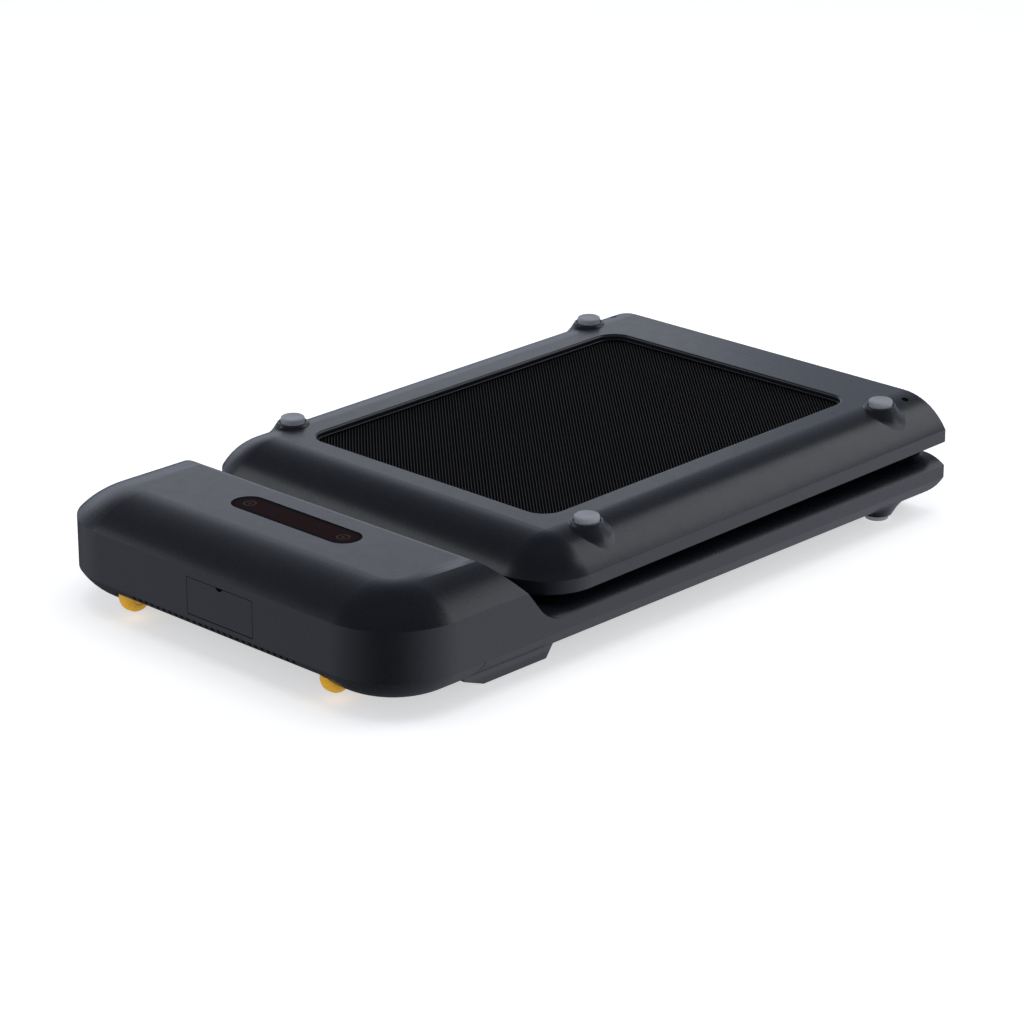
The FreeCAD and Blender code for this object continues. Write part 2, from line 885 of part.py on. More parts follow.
def power_inlet():
    """Recess behind the hatch, the inlet module in its back and the rocker in the module."""
    inner_half = v.hatch_half + v.inlet_side
    outer_half = inner_half + v.inlet_wall
    front = from_front(v.cover_wall)
    low = v.hatch_low - v.inlet_rise
    box = block(
        "inlet_box",
        (
            "2 * (hatch_half + inlet_side + inlet_wall)",
            "inlet_depth + inlet_wall",
            "hatch_high - hatch_low + 2 * (inlet_rise + inlet_wall)",
        ),
        (v.hatch_x - outer_half, front, low - v.inlet_wall),
    )
    hollow = block(
        "inlet_hollow",
        ("2 * (hatch_half + inlet_side)", "inlet_depth + overrun", "hatch_high - hatch_low + 2 * inlet_rise"),
        (v.hatch_x - inner_half, front - v.overrun, low),
    )
    bore = rod(
        "hatch_bore",
        "hatch_pin_radius + fit_gap",
        "2 * (hatch_half + inlet_side + inlet_wall + overrun)",
        (v.hatch_x - outer_half - v.overrun, from_front(v.hatch_axis_y), v.hatch_axis_high),
        ALONG_X,
    )
    middle = (v.hatch_low + v.hatch_high) / 2
    back = front + v.inlet_depth
    face = back - v.module_plate_thick
    bodies, holes = [], []
    switch_high = v.rocker_height + 2 * v.rocker_gap
    for name, x, width, height, width_text, height_text in (
        ("socket", v.socket_x, v.socket_width, v.socket_height, "socket_width", "socket_height"),
        (
            "switch",
            v.rocker_x,
            v.rocker_width + 2 * v.rocker_gap,
            switch_high,
            "rocker_width + 2 * rocker_gap",
            "rocker_height + 2 * rocker_gap",
        ),
    ):
        size = (
            width_text + " + 2 * module_margin",
            "inlet_wall + module_body_depth",
            height_text + " + 2 * module_margin",
        )
        corner = (x - width / 2 - v.module_margin, back, middle - height / 2 - v.module_margin)
        bodies.append(block(name + "_body", size, corner))
        holes.append(block(name + "_hole", size, corner))
    part(cut("inlet_recess", box, hollow, bore, *holes))

    plate = block(
        "module_plate",
        ("module_width", "module_plate_thick", "module_height"),
        (v.hatch_x - v.module_width / 2, face, middle - v.module_height / 2),
    )
    socket = block(
        "socket_cavity",
        ("socket_width", "socket_depth + overrun", "socket_height"),
        (v.socket_x - v.socket_width / 2, face - v.overrun, middle - v.socket_height / 2),
    )
    pivot_y = face + v.rocker_depth / 2 - v.rocker_proud
    well_half = v.rocker_width / 2 + v.rocker_gap
    well = block(
        "rocker_well",
        ("rocker_width + 2 * rocker_gap", "rocker_depth + overrun", "rocker_height + 2 * rocker_gap"),
        (v.rocker_x - well_half, face - v.overrun, middle - switch_high / 2),
    )
    pin_half = well_half + v.rocker_pin_reach
    pin_bore = rod(
        "rocker_bore",
        "rocker_pin_radius + fit_gap",
        "rocker_width + 2 * (rocker_gap + rocker_pin_reach)",
        (v.rocker_x - pin_half, pivot_y, middle),
        ALONG_X,
    )
    blades = [
        block(
            f"blade_{side_word(step) if step else 'middle'}",
            ("blade_width", "blade_length", "blade_height"),
            (
                v.socket_x + step * v.blade_pitch - v.blade_width / 2,
                face + v.socket_depth - v.blade_length,
                middle - v.blade_height / 2,
            ),
        )
        for step in (-1, 0, 1)
    ]
    module = cut("module_body", fuse("module_solid", plate, *bodies), socket, well, pin_bore)
    part(fuse("power_inlet", module, *blades))

    key = block(
        "rocker_key",
        ("rocker_width", "rocker_depth", "rocker_height"),
        (-v.rocker_width / 2, -v.rocker_depth / 2, -v.rocker_height / 2),
    )
    pin = rod(
        "rocker_pin",
        "rocker_pin_radius",
        "rocker_width + 2 * (rocker_gap + rocker_pin_reach - fit_gap)",
        (v.fit_gap - pin_half, 0, 0),
        ALONG_X,
    )
    rocker = part(fuse("power_rocker", key, pin))
    rocker.Placement = Placement(
        Vector(v.rocker_x, pivot_y, middle), Rotation(Vector(1, 0, 0), -v.rocker_angle)
    )


def transport_wheels():
    half = v.wheel_width / 2
    bore = v.wheel_axle_radius + v.fit_gap
    tread = rounded(
        (bore, -half, 0),
        (v.wheel_radius, -half, v.wheel_round),
        (v.wheel_radius, half, v.wheel_round),
        (bore, half, 0),
    )
    reach = half + v.wheel_gap + v.wheel_ear
    axles = []
    for side in SIDES:
        word = side_word(side)
        x = side * v.wheel_x
        place = Placement(Vector(x, from_front(v.wheel_y), v.wheel_high), ALONG_X)
        part(turned(f"wheel_{word}", tread, place))
        axles.append(
            rod(
                f"wheel_axle_{word}",
                "wheel_axle_radius",
                "wheel_width + 2 * (wheel_gap + wheel_ear)",
                (x - reach, from_front(v.wheel_y), v.wheel_high),
                ALONG_X,
            )
        )
    part(group("wheel_axles", axles))


# Underside covers, rails and feet
def crown_section(wall):
    """Full section of a crowned underside, or of the hollow that leaves a skin as thick as wall."""
    past = v.overrun if wall > 0 else 0
    half, edge_x = v.half_width - wall, v.half_width - v.crown_inset
    base, top = v.base_low + wall, v.lip_low + past
    (mid_out, mid_down), (_, end_down) = crown_points(v.crown_inset, v.crown_drop, wall)
    edge, mid_x, mid = base + end_down, edge_x + mid_out, base + mid_down
    return [
        *lines((half, edge), (half, top), (-half, top), (-half, edge)),
        bow((-half, edge), (-mid_x, mid), (-edge_x, base)),
        line((-edge_x, base), (edge_x, base)),
        bow((edge_x, base), (mid_x, mid), (half, edge)),
    ]


def window_prism(name, half, grow, low, height):
    x = v.window_half + grow
    near, far = at_s(half, v.window_near_s - grow), at_s(half, v.window_far_s + grow)
    corner = v.window_corner + grow
    outline = rounded((-x, near, corner), (x, near, corner), (x, far, corner), (-x, far, corner))
    return padded(name, "XY_Plane", low, outline, height)


def foot_places(half):
    rows = (v.foot_near_s, v.foot_far_s) if half == REAR else (v.foot_near_s,)
    return [(side * v.foot_x, at_s(half, s)) for s in rows for side in SIDES]


def underside_cover(half):
    word = HALVES[half]
    start = at_s(half, v.hinge_gap)
    if half == REAR:
        end = at_s(REAR, v.rear_length)
        outer = crowned(
            "rear_outside",
            start,
            end,
            0,
            v.tail_corner,
            v.crown_inset,
            -v.crown_drop,
            v.lip_low,
            0,
            "crown_drop",
        )
        inner = crowned(
            "rear_hollow",
            start + v.cover_wall,
            end,
            v.cover_wall,
            v.tail_corner,
            v.crown_inset,
            -v.crown_drop,
            v.lip_low,
            v.overrun,
            "crown_drop - cover_wall + overrun",
        )
    else:
        end = from_front(v.cover_start_y)
        span = "shell_length - cover_start_y - hinge_gap"
        outer = padded("front_outside", "XZ_Plane", end, crown_section(0), span)
        hollow = crown_section(v.cover_wall)
        inner = padded("front_hollow", "XZ_Plane", end + v.cover_wall, hollow, span + " - 2 * cover_wall")
    bosses, recesses, posts, holes = [], [], [], []
    for index, (x, y) in enumerate(foot_places(half)):
        boss = doc.addObject("Part::Cone", f"{word}_boss_{index}")
        bind(boss, "Radius1", "boss_radius")
        bind(boss, "Radius2", "boss_base_radius")
        bind(boss, "Height", "boss_depth")
        boss.Placement = Placement(Vector(x, y, v.boss_low), UPRIGHT)
        bosses.append(boss)
        recesses.append(
            rod(
                f"{word}_recess_{index}",
                "recess_radius",
                "recess_depth + overrun",
                (x, y, v.boss_low - v.overrun),
            )
        )
    screws = []
    for side in SIDES:
        name = f"{word}_screw_{side_word(side)}"
        x, y = side * v.screw_x, at_s(half, v.screw_s)
        posts.append(rod(name + "_post", "screw_post_radius", "tube_low - base_low", (x, y, v.base_low)))
        holes.append(
            rod(name + "_hole", "screw_hole_radius", "screw_seat_high - base_low", (x, y, v.base_low))
        )
        holes.append(
            rod(
                name + "_bore",
                "screw_shank_radius + fit_gap",
                "tube_low - base_low + overrun",
                (x, y, v.base_low),
            )
        )
        head_low = v.screw_seat_high - v.screw_head_depth
        head = rod(name + "_head", "screw_head_radius", "screw_head_depth", (x, y, head_low))
        shank = rod(
            name + "_shank",
            "screw_shank_radius",
            "tube_low - screw_seat_high + screw_reach",
            (x, y, v.screw_seat_high),
        )
        screws.append(fuse(name, head, shank))
    skin = cut(f"{word}_skin", fuse(f"{word}_bossed", outer, *bosses), inner)
    bead = window_prism(
        f"{word}_bead", half, v.window_bead, v.base_low, "cover_wall + window_bead_depth"
    )
    tall_posts = common(f"{word}_posts", fuse(f"{word}_post_pair", *posts), inner)
    whole = fuse(f"{word}_cover_whole", skin, bead, tall_posts)
    window = window_prism(
        f"{word}_window",
        half,
        0,
        v.base_low - v.overrun,
        "cover_wall + window_bead_depth + 2 * overrun",
    )
    end_slot = block(
        f"{word}_end_slot",
        ("2 * rail_inner", "cover_wall + 2 * overrun", "lip_low - end_wall_high + overrun"),
        (-v.rail_inner, min(start, start + half * v.cover_wall) - v.overrun, v.end_wall_high),
    )
    tools = [window, end_slot, *recesses, *holes]
    if half == FRONT:
        tools.append(
            block(
                "front_wall_slot",
                (
                    "2 * (tube_inner + tube_width)",
                    "cover_wall + 2 * overrun",
                    "lip_low - end_wall_high + overrun",
                ),
                (-v.tube_inner - v.tube_width, end - v.overrun, v.end_wall_high),
            )
        )
    part(cut(f"{word}_bottom_cover", whole, *tools), half == REAR)
    part(group(f"{word}_cover_screws", screws), half == REAR)
    return outer


def feet(half):
    word = HALVES[half]
    top = v.boss_low + v.recess_depth
    outline = rounded(
        (0, 0, 0),
        (v.foot_radius, 0, v.foot_edge),
        (v.foot_radius, top, 0),
        (0, top, 0),
    )
    discs = [
        turned(f"{word}_foot_{index}", outline, Placement(Vector(x, y, 0), UPRIGHT))
        for index, (x, y) in enumerate(foot_places(half))
    ]
    part(group(f"{word}_feet", discs), half == REAR)


def skids(underside):
    front, back = from_front(v.skid_y), from_front(v.skid_y + v.skid_length)
    outline = rounded(
        (front, v.lip_low, 0),
        (front, v.skid_nose, 0),
        (front + v.skid_lead, 0, v.skid_corner),
        (back - v.skid_trail, 0, v.skid_corner),
        (back, v.skid_tail, 0),
        (back, v.lip_low, 0),
    )
    pads = []
    for side in SIDES:
        x = low_x(side, v.skid_inner, v.skid_width)
        slab = padded(f"skid_slab_{side_word(side)}", "YZ_Plane", x, outline, "skid_width")
        pads.append(cut(f"skid_{side_word(side)}", slab, underside))
    part(group("front_skids", pads))


def rail_notch(name, half, side):
    return block(
        name,
        ("tube_width", "hinge_post + notch_side + hinge_gap", "rail_high - tube_high + overrun"),
        (
            low_x(side, v.tube_inner, v.tube_width),
            low_y(half, -v.hinge_gap, v.hinge_post + v.notch_side + v.hinge_gap),
            v.tube_high,
        ),
    )


def rails(half):
    word = HALVES[half]
    if half == FRONT:
        start, span = v.console_end, "front_y + shell_length - hinge_gap - console_end"
    else:
        start, span = at_s(REAR, v.hinge_gap), "rear_length - tail_corner - hinge_gap"
    for side in SIDES:
        name = f"{word}_rail_{side_word(side)}"
        solid = padded(name + "_solid", "XZ_Plane", start, rail_outline(side, 0), span)
        hollow_start = start - v.overrun
        hollow = padded(
            name + "_hollow",
            "XZ_Plane",
            hollow_start,
            rail_outline(side, v.cover_wall),
            span + " + 2 * overrun",
        )
        part(cut(name, solid, hollow, rail_notch(name + "_notch", half, side)), half == REAR)


def tail_cover():
    bend_y = at_s(REAR, v.rear_length - v.tail_corner)
    end_y = at_s(REAR, v.rear_length)
    nip = v.tail_corner * (1 - math.sqrt(0.5))
    right = [
        (v.half_width, bend_y),
        (v.half_width - nip, end_y - nip),
        (v.half_width - v.tail_corner, end_y),
    ]
    left = [(-x, y) for x, y in right]
    bends = [bow(*right), line(right[2], left[2]), bow(left[2], left[1], left[0])]

    def swept(name, wall):
        past = v.overrun if wall > 0 else 0
        body = doc.addObject("PartDesign::Body", name)
        route = bends
        if past > 0:
            lead_in = line((v.half_width, bend_y - past), right[0])
            lead_out = line(left[0], (-v.half_width, bend_y - past))
            route = [lead_in, *bends, lead_out]
        path = sketch(body, name + "_path", "XY_Plane", v.lip_low, route)
        section = sketch(body, name + "_section", "XZ_Plane", bend_y - past, rail_outline(1, wall))
        sweep = body.newObject("PartDesign::AdditivePipe", name + "_sweep")
        sweep.Profile = section
        sweep.Spine = (path, [f"Edge{index + 1}" for index in range(len(route))])
        sweep.Mode = "Standard"
        return body

    belt_room = block(
        "tail_belt_room",
        ("2 * rail_inner", "tail_cover_s - rear_length + tail_corner + overrun", "rail_high"),
        (-v.rail_inner, bend_y - v.overrun, v.overrun),
    )
    part(cut("tail_cover", swept("tail_outside", 0), swept("tail_hollow", v.cover_wall), belt_room), True)


def fold_bumpers():
    pads = [
        rod(
            f"fold_bumper_{side_word(side)}",
            "bumper_radius",
            "bumper_height",
            (side * v.foot_x, at_s(REAR, v.bumper_s), v.rail_high),
        )
        for side in SIDES
    ]
    part(group("fold_bumpers", pads), True)


# Frame, deck and hinge
def side_tubes(half):
    word = HALVES[half]
    if half == FRONT:
        span = "shell_length - tube_front_y - tube_near_s"
        length = v.shell_length - v.tube_front_y - v.tube_near_s
    else:
        span = "tube_tail_s - tube_near_s"
        length = v.tube_tail_s - v.tube_near_s
    start = low_y(half, v.tube_near_s, length)
    tubes = []
    for side in SIDES:
        name = f"{word}_tube_{side_word(side)}"
        x = low_x(side, v.tube_inner, v.tube_width)
        solid = block(name + "_solid", ("tube_width", span, "tube_high - tube_low"), (x, start, v.tube_low))
        bore_span = span + (" + 2 * overrun" if half == FRONT else " - tube_cap + overrun")
        bore = block(
            name + "_inside",
            ("tube_width - 2 * tube_wall", bore_span, "tube_high - tube_low - 2 * tube_wall"),
            (x + v.tube_wall, start - v.overrun, v.tube_low + v.tube_wall),
        )
        screw = rod(
            name + "_screw",
            "screw_shank_radius + fit_gap",
            "screw_reach",
            (side * v.screw_x, at_s(half, v.screw_s), v.tube_low),
        )
        tools = [bore, screw]
        if half == REAR:
            tools.append(
                block(
                    name + "_step",
                    (
                        "tube_width",
                        "tube_tail_s - tail_step_s + overrun",
                        "tube_high - tail_step_high + overrun",
                    ),
                    (x, at_s(REAR, v.tail_step_s), v.tail_step_high),
                )
            )
            tools.append(
                rod(
                    name + "_axle",
                    "tail_axle_radius + fit_gap",
                    "tube_width + 2 * overrun",
                    (x - v.overrun, at_s(REAR, v.tail_s), v.roller_high),
                    ALONG_X,
                )
            )
            tools.append(
                rod(
                    name + "_bolt",
                    "bolt_radius + fit_gap",
                    "tube_cap + 2 * overrun",
                    (x + v.tube_width / 2, at_s(REAR, v.tube_tail_s) - v.tube_cap - v.overrun, v.roller_high),
                    ALONG_Y,
                )
            )
        tubes.append(cut(name, solid, *tools))
    part(group(f"{word}_side_tubes", tubes), half == REAR)


def deck(half):
    word = HALVES[half]
    roller_s = v.drive_s if half == FRONT else v.tail_s
    roller_text = "drive_s" if half == FRONT else "tail_s"
    length = roller_s - v.roller_radius - v.deck_roller_gap - v.belt_end_s
    board = block(
        f"{word}_deck",
        ("2 * deck_half", roller_text + " - roller_radius - deck_roller_gap - belt_end_s", "deck_thick"),
        (-v.deck_half, low_y(half, v.belt_end_s, length), v.deck_high - v.deck_thick),
    )
    part(board, half == REAR)
    bars, pads = [], []
    for row, s in (("near", v.cross_near_s), ("far", v.cross_far_s)):
        y = at_s(half, s)
        name = f"{word}_cross_{row}"
        solid = block(
            name + "_solid",
            ("2 * tube_inner", "cross_width", "cross_high - cross_low"),
            (-v.tube_inner, y - v.cross_width / 2, v.cross_low),
        )
        bore = block(
            name + "_inside",
            (
                "2 * (tube_inner + overrun)",
                "cross_width - 2 * tube_wall",
                "cross_high - cross_low - 2 * tube_wall",
            ),
            (-v.tube_inner - v.overrun, y - v.cross_width / 2 + v.tube_wall, v.cross_low + v.tube_wall),
        )
        bars.append(cut(name, solid, bore))
        for side in SIDES:
            pads.append(
                block(
                    f"{word}_damper_{row}_{side_word(side)}",
                    ("damper_width", "damper_width", "deck_high - deck_thick - cross_high"),
                    (side * v.damper_x - v.damper_width / 2, y - v.damper_width / 2, v.cross_high),
                )
            )
    part(group(f"{word}_cross_members", bars), half == REAR)
    part(group(f"{word}_deck_dampers", pads), half == REAR)


def hinge_knuckles(half):
    """A fork in each front tube and a tongue in each rear tube, sharing one axis."""
    word = HALVES[half]
    label = "hinge_forks" if half == FRONT else "hinge_tongues"
    inside = v.tube_width - 2 * v.tube_wall
    knuckles = []
    for side in SIDES:
        name = f"{word}_knuckle_{side_word(side)}"
        x = low_x(side, v.tube_inner + v.tube_wall, inside)
        pieces = [
            block(
                name + "_root",
                ("tube_width - 2 * tube_wall", "hinge_block_length", "tube_high - tube_low - 2 * tube_wall"),
                (x, low_y(half, v.hinge_block_s, v.hinge_block_length), v.tube_low + v.tube_wall),
            )
        ]
        if half == FRONT:
            plates = [(x, "cheek"), (x + inside - v.cheek, "cheek")]
        else:
            plates = [(x + v.cheek + v.cheek_gap, "tube_width - 2 * (tube_wall + cheek + cheek_gap)")]
        for index, (plate_x, width) in enumerate(plates):
            pieces.append(
                block(
                    f"{name}_arm_{index}",
                    (width, "hinge_block_s", "tube_high - tube_wall - hinge_arm_low"),
                    (plate_x, low_y(half, 0, v.hinge_block_s), v.hinge_arm_low),
                )
            )
            pieces.append(
                block(
                    f"{name}_post_{index}",
                    (width, "hinge_post", "fold_height - hinge_arm_low"),
                    (plate_x, low_y(half, 0, v.hinge_post), v.hinge_arm_low),
                )
            )
            pieces.append(
                rod(f"{name}_ear_{index}", "ear_radius", width, (plate_x, HINGE_Y, v.fold_height), ALONG_X)
            )
        bore = rod(
            name + "_bore",
            "pin_radius + fit_gap",
            "tube_width + 2 * overrun",
            (x - v.overrun, HINGE_Y, v.fold_height),
            ALONG_X,
        )
        knuckles.append(cut(name, fuse(name + "_solid", *pieces), bore))
    part(group(label, knuckles), half == REAR)


def hinge_pins():
    length = v.tube_width - 2 * (v.tube_wall - v.notch_side)
    pins = [
        rod(
            f"hinge_pin_{side_word(side)}",
            "pin_radius",
            "tube_width - 2 * (tube_wall - notch_side)",
            (low_x(side, v.tube_inner + v.tube_wall - v.notch_side, length), HINGE_Y, v.fold_height),
            ALONG_X,
        )
        for side in SIDES
    ]
    part(group("hinge_pins", pins))


# Walking belt, rollers and drive
def walking_belt(half):
    lap = v.seat_gap + v.belt_thick / 2
    roller_s = v.drive_s if half == FRONT else v.tail_s
    pulleys = [
        (at_s(half, v.belt_end_s), v.belt_high - v.belt_thick / 2, 0),
        (at_s(half, roller_s), v.roller_high, -half * (v.roller_radius + lap)),
        (at_s(half, v.snub_roller_s), v.snub_roller_high, -half * (v.guide_radius + lap)),
        (at_s(half, v.fold_roller_s), v.fold_roller_high, half * (v.guide_radius + lap)),
        (at_s(half, v.belt_end_s), v.fold_height - v.turn_reach, 0),
    ]
    outline = ribbon(pulleys, v.belt_thick)
    part(padded(f"belt_{HALVES[half]}", "YZ_Plane", -v.belt_half, outline, "2 * belt_half"), half == REAR)


def belt_turns():
    """The two bends of the belt between the folded halves, about a common centre."""
    tilt = math.radians(v.fold_tilt)
    end = v.belt_end_s - v.seat_gap
    lean = v.turn_s * math.sin(tilt / 2)
    centre = (HINGE_Y - v.turn_s * math.cos(tilt / 2), v.fold_height - lean)
    bends = []
    for name, reach in (
        ("belt_turn_inner", v.fold_height - v.belt_high + v.belt_thick / 2),
        ("belt_turn_outer", v.turn_reach),
    ):
        rear_end = FOLD.multVec(Vector(0, HINGE_Y + end, v.fold_height - reach))
        pulleys = [
            (HINGE_Y - end, v.fold_height - reach, 0),
            (*centre, reach - lean),
            (rear_end.y, rear_end.z, 0),
        ]
        bends.append(padded(name, "YZ_Plane", -v.belt_half, ribbon(pulleys, v.belt_thick), "2 * belt_half"))
    part(group("belt_fold", bends))


def guide_rollers(half):
    word = HALVES[half]
    axles = []
    for name, s, high in (
        ("fold", v.fold_roller_s, v.fold_roller_high),
        ("snub", v.snub_roller_s, v.snub_roller_high),
    ):
        y = at_s(half, s)
        label = f"{word}_{name}_roller"
        body = rod(label + "_body", "guide_radius", "2 * guide_half", (-v.guide_half, y, high), ALONG_X)
        bore = rod(
            label + "_bore",
            "guide_axle_radius + fit_gap",
            "2 * (guide_half + overrun)",
            (-v.guide_half - v.overrun, y, high),
            ALONG_X,
        )
        part(cut(label, body, bore), half == REAR)
        axles.append(
            rod(
                f"{word}_{name}_axle",
                "guide_axle_radius",
                "2 * tube_inner",
                (-v.tube_inner, y, high),
                ALONG_X,
            )
        )
    part(group(f"{word}_guide_axles", axles), half == REAR)


def pulley(label, seat, bore, centre_y, high):
    """Flanged pulley on the left of the pad, for the ribbed belt."""
    x = -v.pulley_x - v.pulley_width / 2
    place = (x, from_front(centre_y), high)
    far = (x + v.pulley_width - v.pulley_flange, from_front(centre_y), high)
    rim = seat + " + ribbed_belt_thick"
    drum = fuse(
        label + "_drum",
        rod(label + "_seat", seat, "pulley_width", place, ALONG_X),
        rod(label + "_flange_near", rim, "pulley_flange", place, ALONG_X),
        rod(label + "_flange_far", rim, "pulley_flange", far, ALONG_X),
    )
    hole = rod(label + "_bore", bore, "pulley_width", place, ALONG_X)
    part(cut(label, drum, hole))


def drive():
    y, high = from_front(v.drive_y), v.roller_high
    drum = rod("drive_drum", "roller_radius", "2 * roller_half", (-v.roller_half, y, high), ALONG_X)
    shaft = rod(
        "drive_shaft", "drive_shaft_radius", "2 * drive_shaft_half", (-v.drive_shaft_half, y, high), ALONG_X
    )
    part(fuse("drive_roller", drum, shaft))
    pulley("drive_pulley", "drive_pulley_radius", "drive_shaft_radius", v.drive_y, v.roller_high)
    blocks, bearings = [], []
    inner = v.tube_inner + v.tube_width
    for side in SIDES:
        name = f"bearing_{side_word(side)}"
        x = low_x(side, inner, v.block_width)
        solid = block(
            name + "_housing",
            ("block_width", "block_length", "block_high - tube_low"),
            (x, from_front(v.block_y), v.tube_low),
        )
        seat = rod(name + "_seat", "bearing_radius", "block_width", (x, y, high), ALONG_X)
        blocks.append(cut(name + "_block", solid, seat))
        ring_x = x + (v.block_width - v.bearing_width) / 2
        ring = rod(name + "_ring", "bearing_radius - fit_gap", "bearing_width", (ring_x, y, high), ALONG_X)
        bore = rod(
            name + "_bore", "drive_shaft_radius + fit_gap", "bearing_width", (ring_x, y, high), ALONG_X
        )
        bearings.append(cut(name, ring, bore))
    part(group("bearing_blocks", blocks))
    part(group("drive_bearings", bearings))


def motor():
    y, high = from_front(v.motor_y), v.motor_high
    left = -v.motor_left
    can = rod("motor_outside", "motor_radius", "motor_length", (left, y, high), ALONG_X)
    cavity = rod(
        "motor_cavity",
        "motor_radius - motor_wall",
        "motor_length - 2 * motor_wall",
        (left + v.motor_wall, y, high),
        ALONG_X,
    )
    bore = rod("motor_bore", "motor_shaft_radius + fit_gap", "motor_length", (left, y, high), ALONG_X)
    part(cut("motor_can", can, cavity, bore))
    ends = v.motor_wall + v.rotor_end_gap
    core = rod(
        "rotor_core",
        "rotor_radius",
        "motor_length - 2 * (motor_wall + rotor_end_gap)",
        (left + ends, y, high),
        ALONG_X,
    )
    tip = -v.pulley_x - v.pulley_width / 2
    shaft = rod(
        "rotor_shaft",
        "motor_shaft_radius",
        "pulley_x + pulley_width / 2 - motor_left + motor_length",
        (tip, y, high),
        ALONG_X,
    )
    part(fuse("motor_rotor", core, shaft))
    pulley("motor_pulley", "motor_pulley_radius", "motor_shaft_radius", v.motor_y, v.motor_high)
    slab = block(
        "saddle_slab",
        ("saddle_length", "saddle_width", "saddle_high - floor_high"),
        (left + (v.motor_length - v.saddle_length) / 2, y - v.saddle_width / 2, v.floor_high),
    )
    seat = rod("saddle_seat", "motor_radius", "motor_length", (left, y, high), ALONG_X)
    part(cut("motor_saddle", slab, seat))
    wheels = [
        (from_front(v.motor_y), v.motor_high, v.motor_pulley_radius + v.seat_gap),
        (from_front(v.drive_y), v.roller_high, v.drive_pulley_radius + v.seat_gap),
    ]
    loop = belt_loop(wheels, 0) + belt_loop(wheels, -v.ribbed_belt_thick)
    part(padded("ribbed_belt", "YZ_Plane", -v.pulley_x - v.ribbed_belt_width / 2, loop, "ribbed_belt_width"))


def controller():
    floor = v.floor_high
    low = floor + v.spacer_height
    x, y = v.controller_x, from_front(v.controller_y)
    board = block("controller_plate", ("controller_width", "controller_length", "board_thick"), (x, y, low))
    margin = v.spacer_margin
    spacers = [
        rod(f"spacer_{index}", "spacer_radius", "spacer_height", (px, py, floor))
        for index, (px, py) in enumerate(
            (px, py)
            for px in (x + margin, x + v.controller_width - margin)
            for py in (y + margin, y + v.controller_length - margin)
        )
    ]
    part(fuse("controller_board", board, *spacers))
    sink_x = x + (v.controller_width - v.sink_width) / 2
    sink_y = y + (v.controller_length - v.sink_length) / 2
    top = low + v.board_thick
    base = block("sink_plate", ("sink_width", "sink_length", "sink_base"), (sink_x, sink_y, top))
    count = int((v.sink_width - v.fin_thick) // v.fin_pitch) + 1
    fins = [
        block(
            f"fin_{index}",
            ("fin_thick", "sink_length", "sink_height"),
            (sink_x + index * v.fin_pitch, sink_y, top),
        )
        for index in range(count)
    ]
    part(fuse("heat_sink", base, *fins))


def tail_roller():
    y, high = at_s(REAR, v.tail_s), v.roller_high
    axle_half = v.tube_inner + v.tube_width
    axle = rod(
        "tail_axle", "tail_axle_radius", "2 * (tube_inner + tube_width)", (-axle_half, y, high), ALONG_X
    )
    part(axle, True)
    drum = rod("tail_drum", "roller_radius", "2 * roller_half", (-v.roller_half, y, high), ALONG_X)
    bore = rod(
        "tail_bore", "tail_axle_radius + seat_gap", "2 * roller_half", (-v.roller_half, y, high), ALONG_X
    )
    seats, rings = [], []
    for side in SIDES:
        name = f"tail_bearing_{side_word(side)}"
        x = low_x(side, v.roller_half - v.tail_bearing_width, v.tail_bearing_width)
        seats.append(rod(name + "_seat", "tail_bearing_radius", "tail_bearing_width", (x, y, high), ALONG_X))
        ring = rod(
            name + "_ring", "tail_bearing_radius - fit_gap", "tail_bearing_width", (x, y, high), ALONG_X
        )
        hole = rod(name + "_hole", "tail_axle_radius + fit_gap", "tail_bearing_width", (x, y, high), ALONG_X)
        rings.append(cut(name, ring, hole))
    part(cut("tail_roller", drum, bore, *seats), True)
    part(group("tail_bearings", rings), True)
    bolts = []
    for side in SIDES:
        name = f"tension_bolt_{side_word(side)}"
        x = side * (v.tube_inner + v.tube_width / 2)
        tip = y + v.tail_axle_radius + v.seat_gap
        shank = rod(name + "_shank", "bolt_radius", "bolt_length", (x, tip, high), ALONG_Y)
        head = rod(name + "_head", "bolt_head_radius", "bolt_head", (x, tip + v.bolt_length, high), ALONG_Y)
        bolts.append(fuse(name, shank, head))
    part(group("tension_bolts", bolts), True)


console_top_cover()
console_shell()
belly_pan()
display()
hatch()
power_inlet()
transport_wheels()
for pad_half in (FRONT, REAR):
    underside = underside_cover(pad_half)
    if pad_half == FRONT:
        skids(underside)
    feet(pad_half)
    rails(pad_half)
    side_tubes(pad_half)
    deck(pad_half)
    hinge_knuckles(pad_half)
    walking_belt(pad_half)
    guide_rollers(pad_half)
hinge_pins()
belt_turns()
drive()
motor()
controller()
tail_cover()
tail_roller()
fold_bumpers()
doc.recompute()

# Checks, then one file for each sub-part
for item in doc.Objects:
    if "Invalid" in item.State or "Error" in item.State:
        raise RuntimeError(f"{item.Label} failed: {item.State}")
for item in PARTS:
    if item.Shape.isNull() or not item.Shape.isValid():
        raise RuntimeError(f"{item.Label} has no valid shape")
for item in PARTS:
    item.Shape.exportStep(f"parts/{item.Label}.step")
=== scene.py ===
"""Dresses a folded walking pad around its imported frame: shells, belt, feet, wheels, display and stage."""

